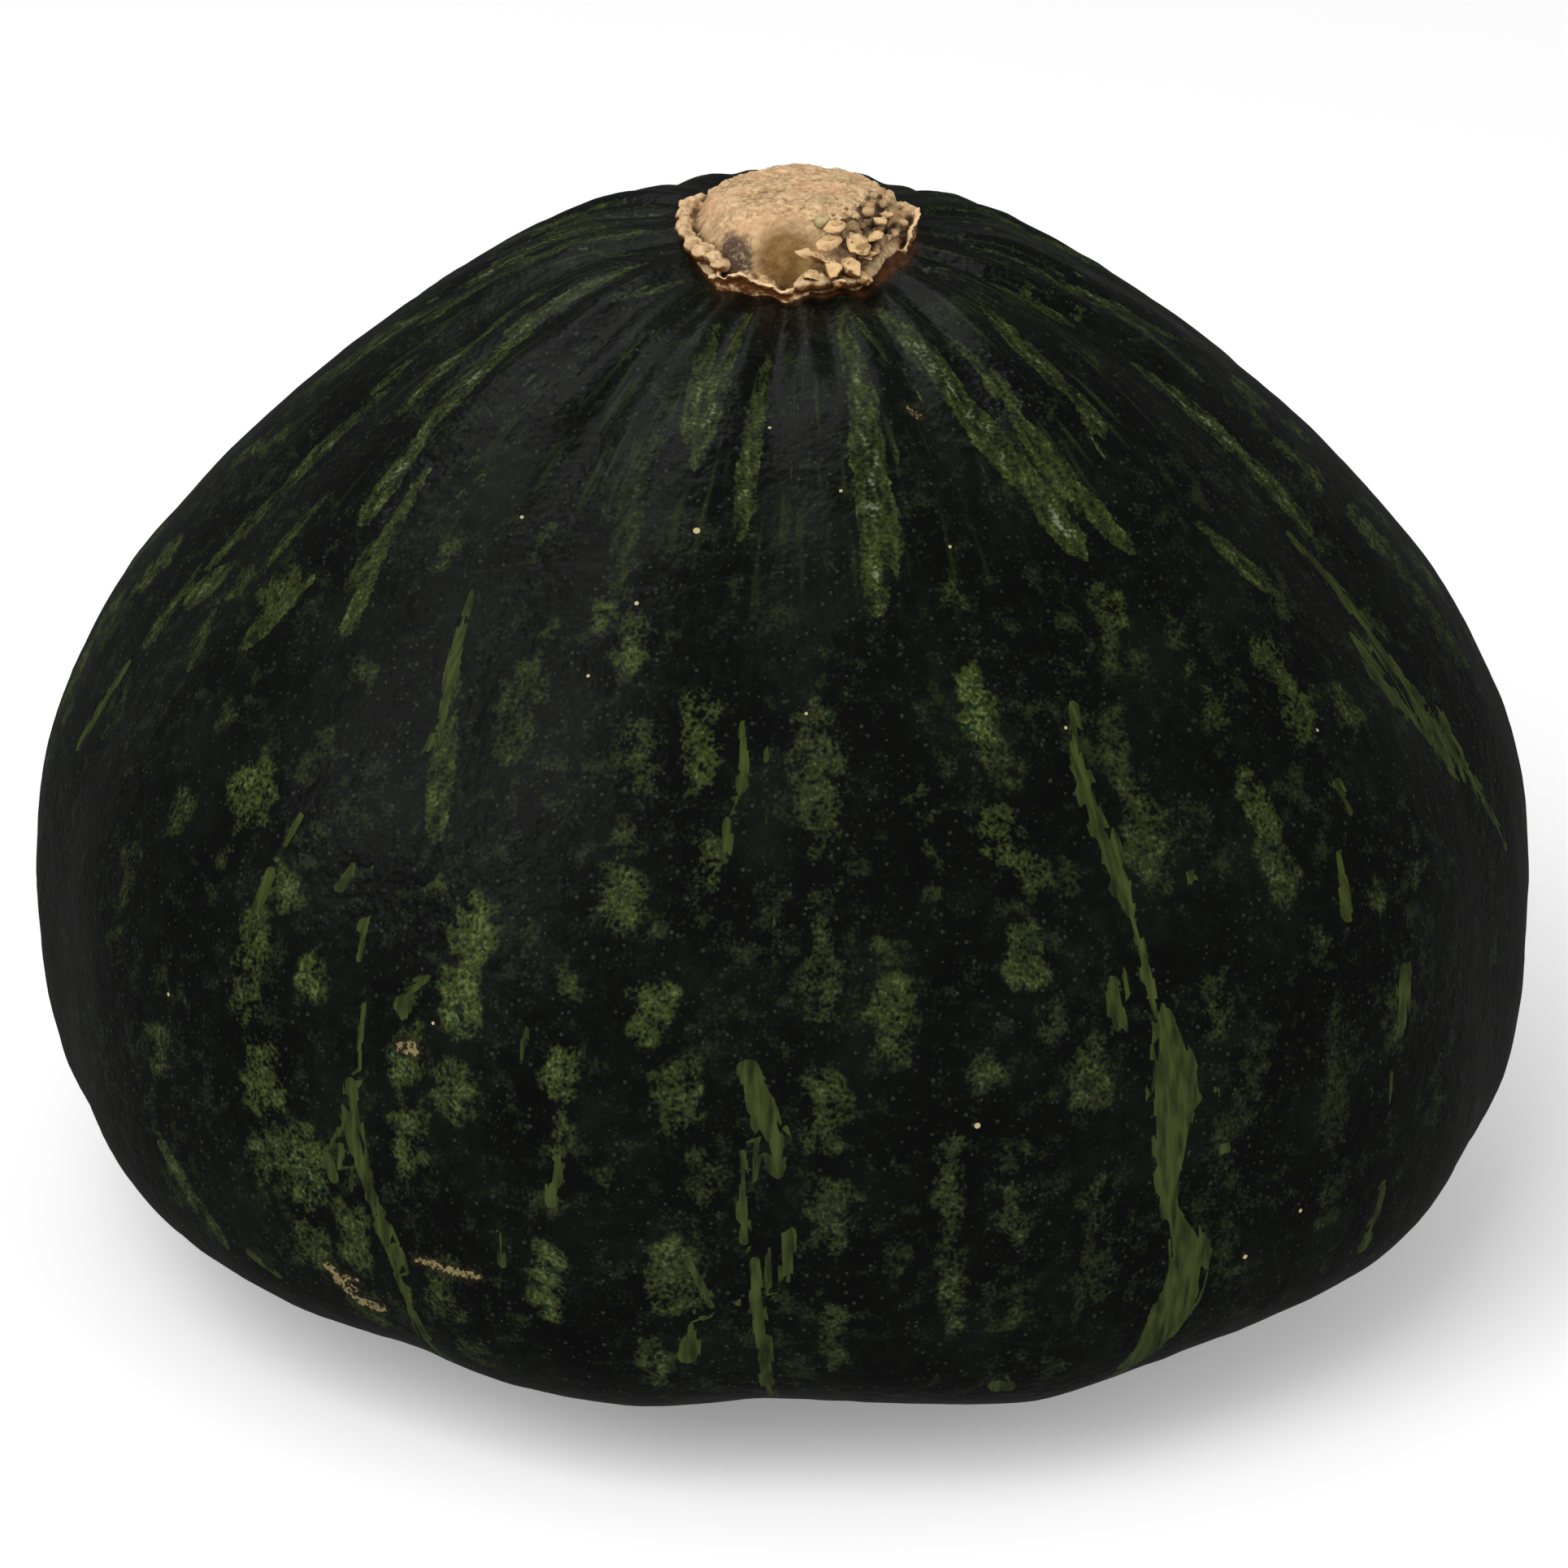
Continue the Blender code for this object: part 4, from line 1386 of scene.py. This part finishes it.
# %% The curled peel and the knob
# For some angles: how high the strip stands and how far it curls outwards, in millimetres.
FRONT_PEEL = (
    (-40, 0.5, 0.1),
    (-34, 1.6, 0.6),
    (-27, 2.3, 1.2),
    (-21, 2.2, 1.4),
    (-14, 1.6, 1.2),
    (-8, 1.0, 0.8),
    (-2, 1.3, 0.4),
    (4, 0.7, 0.2),
)
RIGHT_PEEL = (
    (66, 0.5, 0.1),
    (73, 1.3, 0.3),
    (81, 1.9, 0.6),
    (89, 2.1, 0.5),
    (97, 1.6, 0.4),
    (106, 0.6, 0.1),
)
PEEL_THICKNESS = 0.62
PEEL_STEPS = 7
PEEL_BEND = 1.9
PEEL_ROOT = 0.5
# Size in millimetres, pace and start of the waves along its edge.
PEEL_WAVES = ((0.20, 0.42, 0.0), (0.09, 1.1, 1.0))


def peel(name, stations, share):
    """A thin strip standing up from the foot and curling outwards."""
    angles = np.arange(stations[0][0], stations[-1][0] + 0.1, 1.0)
    at, height, curl = zip(*stations)
    heights = np.interp(angles, at, height)
    curls = np.interp(angles, at, curl)
    rows = []
    for index, angle in enumerate(angles):
        wave = sum(size * math.sin(index * pace + start) for size, pace, start in PEEL_WAVES)
        turn = math.radians(angle)
        outwards = Vector((math.sin(turn), -math.cos(turn), 0.0))
        foot = stem_place(angle, share, 0.0)
        row = []
        for step in np.linspace(0.0, 1.0, PEEL_STEPS):
            rise = heights[index] * (math.sin(step * PEEL_BEND) + wave * step) - PEEL_ROOT * (1 - step)
            row.append(foot + outwards * (curls[index] * step ** 2 + wave * step) + Vector((0, 0, rise)))
        rows.append(row)
    return thick_sheet(name, rows, PEEL_THICKNESS)


def thick_sheet(name, rows, thickness):
    """A sheet through rows of points, made solid."""
    width = len(rows[0])
    faces = []
    for row in range(len(rows) - 1):
        for step in range(width - 1):
            corner = row * width + step
            faces.append((corner, corner + 1, corner + width + 1, corner + width))
    mesh = bpy.data.meshes.new(name)
    mesh.from_pydata([point for row in rows for point in row], [], faces)
    sheet = add_object(name, mesh)
    solid = sheet.modifiers.new("thickness", "SOLIDIFY")
    solid.thickness = thickness
    solid.offset = 0.0
    return taken_apart(sheet)


def ball(middle, radii):
    """A small ball with its own radius along each axis."""
    shape = bmesh.new()
    bmesh.ops.create_icosphere(shape, subdivisions=3, radius=1.0)
    for vertex in shape.verts:
        vertex.co = Vector([part * radius for part, radius in zip(vertex.co, radii)]) + middle
    return points_and_faces(shape)


lumps["peel"] = [peel("front_peel", FRONT_PEEL, 1.0), peel("right_peel", RIGHT_PEEL, 1.02)]
lumps["knob"] = [ball(stem_place(13, 0.72, 4.0), (1.0, 1.0, 0.85))]
print("peel has", sum(len(points) for points, _ in lumps["peel"]), "points")

# %% [markdown]
# ## One skin, and loose pieces on it
#
# The button, its nodules, the peel and the knob grew together, so they must not show a hard
# crease where they meet. A voxel remesh asks of every small cube whether it is inside any of
# them and puts one new closed skin around them all. Shards and crumbs only lie against each
# other, so they keep their own closed skins. A second geometry tree then roughens everything:
# packed grains, low terraces and pits on the top, finer on steep faces.

# %% Melt what grew together
VOXEL = 0.19
GROWN_TOGETHER = ("button", "nodules", "peel", "knob")


def join_lumps(groups):
    """All lumps of some groups in one mesh, in millimetres, with the group of each point."""
    points, faces, owners = [], [], []
    for name, shapes in groups.items():
        for shape_points, shape_faces in shapes:
            start = len(points)
            points.extend(shape_points)
            faces.extend([tuple(corner + start for corner in face) for face in shape_faces])
            owners.extend([name] * len(shape_points))
    mesh = bpy.data.meshes.new("lumps")
    mesh.from_pydata(points, [], faces)
    return mesh, owners


def melt(mesh, voxel):
    """One closed skin around a mesh of crossing lumps, as points and faces."""
    piece = add_object("melting", mesh)
    remesh = piece.modifiers.new("voxels", "REMESH")
    remesh.mode = "VOXEL"
    remesh.voxel_size = voxel
    return taken_apart(piece)


grown = {name: lumps[name] for name in GROWN_TOGETHER}
loose = {name: shapes for name, shapes in lumps.items() if name not in GROWN_TOGETHER}
grown_mesh, grown_owners = join_lumps(grown)
stem_mesh, owners = join_lumps({"skin": [melt(grown_mesh, VOXEL)], **loose})
print("grown skin and loose pieces have", len(stem_mesh.polygons), "faces")

# %% Grain
GRAIN_SIZES = {
    "Grain height": 0.24,
    "Grain size": 0.8,
    "Terrace height": 0.22,
    "Pit depth": 0.4,
    "Roughness": 0.08,
}
GRAIN_STRETCH = (1.0, 1.5, 1.2)


def grain_tree(material):
    """A geometry tree that roughens the cork and scales it to metres."""
    graph, entry = growth("grain", GRAIN_SIZES)
    place = graph.node("GeometryNodeInputPosition")
    normal = graph.node("GeometryNodeInputNormal")
    up = graph.parts(normal)["Z"]
    flat = 0.4 + 0.6 * graph.step(up, 0.5, 0.9)
    along_rows = graph.stretch(place, GRAIN_STRETCH)
    grains = graph.cells(along_rows, 1.0, Scale=1.0 / entry["Grain size"])
    coarse = graph.noise(along_rows, size=2.6, detail=1.0, seed=2.0)
    terraces = graph.math("SNAP", coarse * 2.0, 0.5)
    pits = graph.step(graph.noise(place, size=1.3, detail=1.0, seed=3.0), 0.5, 0.85)
    fine = graph.noise(place, size=0.5, detail=2.0, seed=4.0)
    rise = (0.45 - grains) * entry["Grain height"] + terraces * entry["Terrace height"]
    rise = (rise - pits * entry["Pit depth"]) * flat + fine * entry["Roughness"]
    push = graph.node("ShaderNodeVectorMath", {"operation": "SCALE"}, {0: normal, "Scale": rise})
    moved = graph.node("ShaderNodeVectorMath", None, {0: place, 1: push})
    rough = graph.node("GeometryNodeSetPosition", None, {
        "Geometry": entry["Geometry"],
        "Position": graph.stretch(moved, (MM, MM, MM)),
    })
    end_growth(graph, rough, material)
    return graph


stem = grow("stem_button", grain_tree(cork), GRAIN_SIZES, stem_mesh)

# %% [markdown]
# ## What the cork keeps about itself
#
# Cork is coloured here by its shape: grain tops get a painted highlight, and every nook gets painted shade.
# Two measures tell the material where it is. A dip is how far a point lies under the smoothed
# skin, which finds the gaps between grains. A nook is the share of directions in which a point
# looks at its own stem within a few millimetres, counted with rays, which finds the gaps
# between loose pieces. Hollow, stain and the kind of each piece are kept in the same way.

# %% Dips and nooks
SMOOTHINGS = 12
# Rays from each point, how far they look and how far off the skin they start, in millimetres.
NOOK_RAYS = 14
NOOK_REACH = 2.6
NOOK_START = 0.08
GOLDEN_TURN = math.pi * (3.0 - math.sqrt(5.0))


def average_of_neighbours(mesh, values):
    """For each point, the mean of a value over the points it shares an edge with."""
    edges = np.zeros(len(mesh.edges) * 2, np.int32)
    mesh.edges.foreach_get("vertices", edges)
    first, second = edges.reshape(-1, 2).T
    ends = np.concatenate([first, second])
    others = np.concatenate([second, first])
    count = np.maximum(np.bincount(ends, minlength=len(values)), 1)
    return np.bincount(ends, values[others], len(values)) / count


def dips(mesh, points, normals):
    """How far each point lies under the smoothed skin, in millimetres."""
    smooth = points.copy()
    for _ in range(SMOOTHINGS):
        smooth = np.stack([average_of_neighbours(mesh, axis) for axis in smooth.T], axis=1)
    return ((smooth - points) * normals).sum(1)


def nooks(mesh, points, normals):
    """The share of directions in which each point looks at its own stem.

    The directions are spread over a half sphere by the golden angle, and one that points
    into the skin is turned round."""
    corners = [Vector(point) for point in points]
    tree = BVHTree.FromPolygons(corners, [face.vertices for face in mesh.polygons])
    steps = np.arange(NOOK_RAYS) + 0.5
    turn = steps * GOLDEN_TURN
    height = 1.0 - steps / NOOK_RAYS
    flat = np.sqrt(1.0 - height ** 2)
    rays = [Vector(ray) for ray in np.stack([flat * np.cos(turn), flat * np.sin(turn), height], axis=1)]
    seen = np.zeros(len(points))
    for index, (corner, normal) in enumerate(zip(corners, normals)):
        outwards = Vector(normal)
        start = corner + outwards * NOOK_START
        for ray in rays:
            way = ray if ray.dot(outwards) > 0.0 else -ray
            if tree.ray_cast(start, way, NOOK_REACH)[0] is not None:
                seen[index] += 1.0 / NOOK_RAYS
    return average_of_neighbours(mesh, seen)


# %% Hollow, stain and kinds
STAIN = {"angle": -33.0, "width": 13.0, "share": 0.85, "length": 0.11}


def know_the_stem(mesh):
    """Store dip, nook, hollow, stain, share of the reach and kind for each point."""
    points = mesh_vectors(mesh.vertices, "co") / MM
    normals = mesh_vectors(mesh.vertex_normals, "vector")
    turn = np.arctan2(points[:, 0] - CORE_X, -points[:, 1])
    share = np.hypot(points[:, 0] - CORE_X, points[:, 1]) / broken_reach(turn)
    kinds = np.array(owners)
    store(mesh, "dip", dips(mesh, points, normals))
    store(mesh, "nook", nooks(mesh, points, normals))
    store(mesh, "hollow", spot(np.degrees(turn), share, HOLLOW))
    store(mesh, "stain", spot(np.degrees(turn), share, STAIN))
    store(mesh, "share", share)
    store(mesh, "shard", np.isin(kinds, ["shards", "crumbs"]))

    tree = KDTree(len(grown_mesh.vertices))
    for index, vertex in enumerate(grown_mesh.vertices):
        tree.insert(vertex.co, index)
    tree.balance()
    skin = np.flatnonzero(kinds == "skin")
    for index in skin:
        kinds[index] = grown_owners[tree.find(points[index])[1]]
    store(mesh, "nodule", np.isin(kinds, ["nodules", "peel"]))
    store(mesh, "knob", kinds == "knob")


know_the_stem(stem.data)
print("stem is", [round(length / MM, 1) for length in stem.dimensions], "mm")

# %% [markdown]
# ## Cork
#
# Dry cork is a warm tan, with pinker and greyer clouds and dark flecks. Its high grains get a
# painted highlight and its crevices painted shade in brown, which the stored dip and nook
# decide. The hollow is smoother and olive-brown, like old honey, with a grey-brown mould stain
# beside it, the nodules are paler, the shards are a cleaner tan, and the foot's downward faces
# where it meets the rind get painted shade in orange-brown. Only the hollow has a little gloss.

# %% The cork's material
# The pale tan also serves as the painted highlight on grain tops, and the cork brown as painted shade in
# dips and nooks. The crevice brown and the foot orange are painted shade only.
CORK_TAN = colour(156, 123, 86)
CORK_PALE_AND_HIGHLIGHT = colour(232, 202, 158)
CORK_PINK = colour(186, 134, 96)
CORK_GREY = colour(150, 128, 94)
CORK_BROWN_AND_SHADE = colour(78, 53, 30)
CREVICE_SHADE_BROWN = colour(36, 23, 13)
NODULE_PALE = colour(232, 198, 150)
SHARD_TAN = colour(208, 170, 118)
HOLLOW_OLIVE = colour(104, 75, 36)
HOLLOW_PALE = colour(152, 124, 74)
HOLLOW_SPOT = colour(46, 37, 29)
STAIN_GREY = colour(58, 44, 38)
STAIN_PALE = colour(152, 128, 100)
FOOT_SHADE_ORANGE = colour(96, 57, 24)
KNOB_GREEN = colour(134, 128, 84)
CORK_GRIT = 0.05
CORK_ROUGHNESS = 0.82
HOLLOW_GLOSS = 0.3


def cork_tree(material):
    """Colour the cork by its grain and its parts, and paint shade into crevices and highlights on tops."""
    graph = finish_shader(material)
    place = graph.stretch(graph.node("ShaderNodeTexCoord", None, None, "Object"), (1 / MM,) * 3)
    dip = graph.stored("dip")
    nook = graph.stored("nook")
    nodule = graph.stored("nodule")
    loose = graph.stored("shard")
    along_rows = graph.stretch(place, GRAIN_STRETCH)
    grains = graph.cells(along_rows, GRAIN_SIZES["Grain size"])
    shade = graph.channels(grains["Color"])["Red"]
    grain = graph.noise(place, size=0.55, detail=2.0, seed=71.0, roughness=0.6)
    cloud = graph.noise(place, size=4.0, detail=2.0, seed=72.0)

    paint = graph.mix(graph.step(shade * 0.4 + grain * 0.6 + cloud * 0.4, -0.5, 1.0), CORK_TAN, CORK_PALE_AND_HIGHLIGHT)
    smoke = graph.noise(place, size=3.0, detail=2.0, seed=76.0)
    paint = graph.mix(graph.step(cloud + grain * 0.2, -0.2, 0.8) * 0.7, paint, CORK_PINK)
    paint = graph.mix(graph.step(smoke + grain * 0.3, 0.1, 0.8) * 0.7, paint, CORK_GREY)
    flecks = graph.step(graph.noise(place, size=0.75, detail=2.0, seed=73.0, roughness=0.6), 0.5, 0.9)
    paint = graph.mix(flecks * 0.55, paint, CORK_BROWN_AND_SHADE)
    paint = graph.mix(nodule * 0.8, paint, NODULE_PALE)
    paint = graph.mix(loose * 0.8, paint, SHARD_TAN)

    hollow = graph.stored("hollow") * (1.0 - loose) * (1.0 - nodule)
    honey = graph.mix(graph.step(cloud + grain * 0.3, -0.5, 0.7), HOLLOW_OLIVE, HOLLOW_PALE)
    paint = graph.mix(graph.step(hollow + cloud * 0.25 + grain * 0.08, 0.15, 0.7), paint, honey)
    spots = graph.step(graph.noise(place, size=2.4, detail=1.0, seed=74.0), 0.35, 0.75)
    spots = spots * graph.step(hollow, 0.2, 0.6)
    paint = graph.mix(spots * 0.8, paint, HOLLOW_SPOT)
    ragged = graph.noise(place, size=1.6, detail=2.0, seed=75.0)
    stain = graph.stored("stain") * (1.0 - loose * 0.6) + ragged * 0.3
    mould = graph.mix(graph.step(grain, 0.0, 0.8), STAIN_GREY, STAIN_PALE)
    paint = graph.mix(graph.step(stain, 0.3, 0.7) * 0.9, paint, mould)
    paint = graph.mix(graph.stored("knob") * 0.9, paint, KNOB_GREEN)

    # Painted shade and painted highlight: points under the smoothed skin and points in nooks are painted
    # brown to dark brown, and points above the smoothed skin are painted paler.
    paint = graph.mix(graph.step(dip, 0.02, 0.16) * 0.55, paint, CORK_BROWN_AND_SHADE)
    paint = graph.mix(graph.step(dip * -1.0, 0.02, 0.15) * 0.35, paint, CORK_PALE_AND_HIGHLIGHT)
    paint = graph.mix(graph.step(nook + grain * 0.08, 0.3, 0.75) * 0.7, paint, CORK_BROWN_AND_SHADE)
    paint = graph.mix(graph.step(nook + grain * 0.08, 0.57, 0.92) * 0.9, paint, CREVICE_SHADE_BROWN)
    # Painted shade: faces near the foot that turn downwards, where the cork meets the rind, are painted
    # orange-brown.
    normal = graph.node("ShaderNodeNewGeometry", None, None, "Normal")
    down = graph.parts(normal)["Z"] * -1.0
    foot = graph.step(graph.stored("share"), 0.94, 1.02) * graph.step(down + grain * 0.15, -0.35, 0.2)
    paint = graph.mix(foot, paint, FOOT_SHADE_ORANGE)

    bump = {"Height": grain * CORK_GRIT, "Strength": 0.8, "Distance": MM}
    end_finish(graph, {
        "Base Color": paint,
        "Roughness": CORK_ROUGHNESS - graph.step(hollow, 0.3, 0.8) * HOLLOW_GLOSS,
        "Normal": graph.node("ShaderNodeBump", None, bump),
        "Specular IOR Level": 0.25,
    })
    return graph


print("cork finish has", len(cork_tree(cork).tree.nodes), "nodes")

# %% [markdown]
# ## Floor, world and lights
#
# A dark, waxy fruit shows its form by what it reflects, and its markings by what lights
# them, and one lamp seldom suits both. So two large soft lamps, a strong one high at the
# front left and a weak one at the right, light the markings but aren't mirrored in the rind,
# and two weak panels, one beside the fruit and one overhead, lay the soft sheen on its
# shoulder. The floor is a plain pale sheet. The world is white where the camera sees it,
# half as bright where it lights the fruit, and nearly dark where the rind mirrors it, or its
# reflection would grey the whole rind.

# %% The floor
FLOOR_REACH = 3.0
WHITE = (1.0, 1.0, 1.0, 1.0)
SHEET_WHITE = (0.86, 0.86, 0.86, 1.0)


def pale_floor():
    """A large plain floor for the fruit to stand on, which glows a little."""
    corners = [(x * FLOOR_REACH, y * FLOOR_REACH, 0.0) for x, y in ((-1, -1), (1, -1), (1, 1), (-1, 1))]
    mesh = bpy.data.meshes.new("floor")
    mesh.from_pydata(corners, [], [(0, 1, 2, 3)])
    floor = add_object("floor", mesh)
    material = bpy.data.materials.new("pale_sheet")
    end_finish(finish_shader(material), {
        "Base Color": SHEET_WHITE,
        "Roughness": 0.9,
        "Specular IOR Level": 0.0,
        "Emission Color": WHITE,
        "Emission Strength": 0.25,
    })
    mesh.materials.append(material)
    floor.visible_glossy = False
    floor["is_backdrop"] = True
    return floor


floor = pale_floor()
print("floor is", [round(length, 1) for length in floor.dimensions], "m")

# %% The world
WORLD_LIGHT = 0.5
WORLD_GLOSS = 0.07


def white_world():
    """White to the camera, dimmer as light, and dimmer still in reflections."""
    world = bpy.data.worlds.new("studio")
    bpy.context.scene.world = world
    world.use_nodes = True
    world.node_tree.nodes.clear()
    graph = Graph(world.node_tree)
    seen = graph.node("ShaderNodeLightPath", None, None, "Is Camera Ray")
    gloss = graph.node("ShaderNodeLightPath", None, None, "Is Glossy Ray")
    strength = WORLD_LIGHT + seen * (1.0 - WORLD_LIGHT) - gloss * (WORLD_LIGHT - WORLD_GLOSS)
    light = graph.node("ShaderNodeBackground", None, {"Strength": strength})
    graph.node("ShaderNodeOutputWorld", None, {0: light})
    light.node.inputs["Color"].default_value = WHITE


white_world()
print("world lights with", WORLD_LIGHT)

# %% Soft panels
# Name: place, width and height in metres, power in watts, whether the rind mirrors it.
PANELS = {
    "key_lamp": ((-0.45, -0.80, 0.95), 0.9, 0.9, 11.0, False),
    "fill_lamp": ((0.90, -0.70, 0.45), 0.8, 0.8, 3.0, False),
    "side_panel": ((-0.83, -0.50, 0.84), 0.7, 0.85, 0.85, True),
    "top_panel": ((-0.32, 0.36, 1.15), 1.0, 0.9, 1.7, True),
}
for name, (position, width, height, power, mirrored) in PANELS.items():
    light = bpy.data.lights.new(name, "AREA")
    light.shape = "RECTANGLE"
    light.size = width
    light.size_y = height
    light.energy = power
    panel = add_object(name, light)
    panel.location = position
    panel.rotation_euler = (aim - Vector(position)).to_track_quat("-Z", "Y").to_euler()
    panel.visible_glossy = mirrored
bpy.context.scene.view_settings.view_transform = "Standard"
print(len(PANELS), "panels")

# %% [markdown]
# ## Handing the pieces over
# The fruit and its stem lie still together, so both ride on the root body. Each takes the
# place of the construction piece it was grown around, which is hidden. The outer box is
# measured again at the end, as the construction pieces were at the start, because a finer
# skin must not make the fruit any bigger.

# %% Bodies and replaced pieces
for piece, node, finish in ((fruit, "squash_fruit", "rind"), (stem, "corky_stem", "cork")):
    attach(piece, "root")
    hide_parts(node)
    triangles = sum(len(face.vertices) - 2 for face in piece.data.polygons)
    print(piece.name, "has", triangles, "triangles")

# %% Sizes, and the end
visual_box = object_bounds()
print("visual model is", [round(size / MM, 1) for size in visual_box[1] - visual_box[0]], "mm")
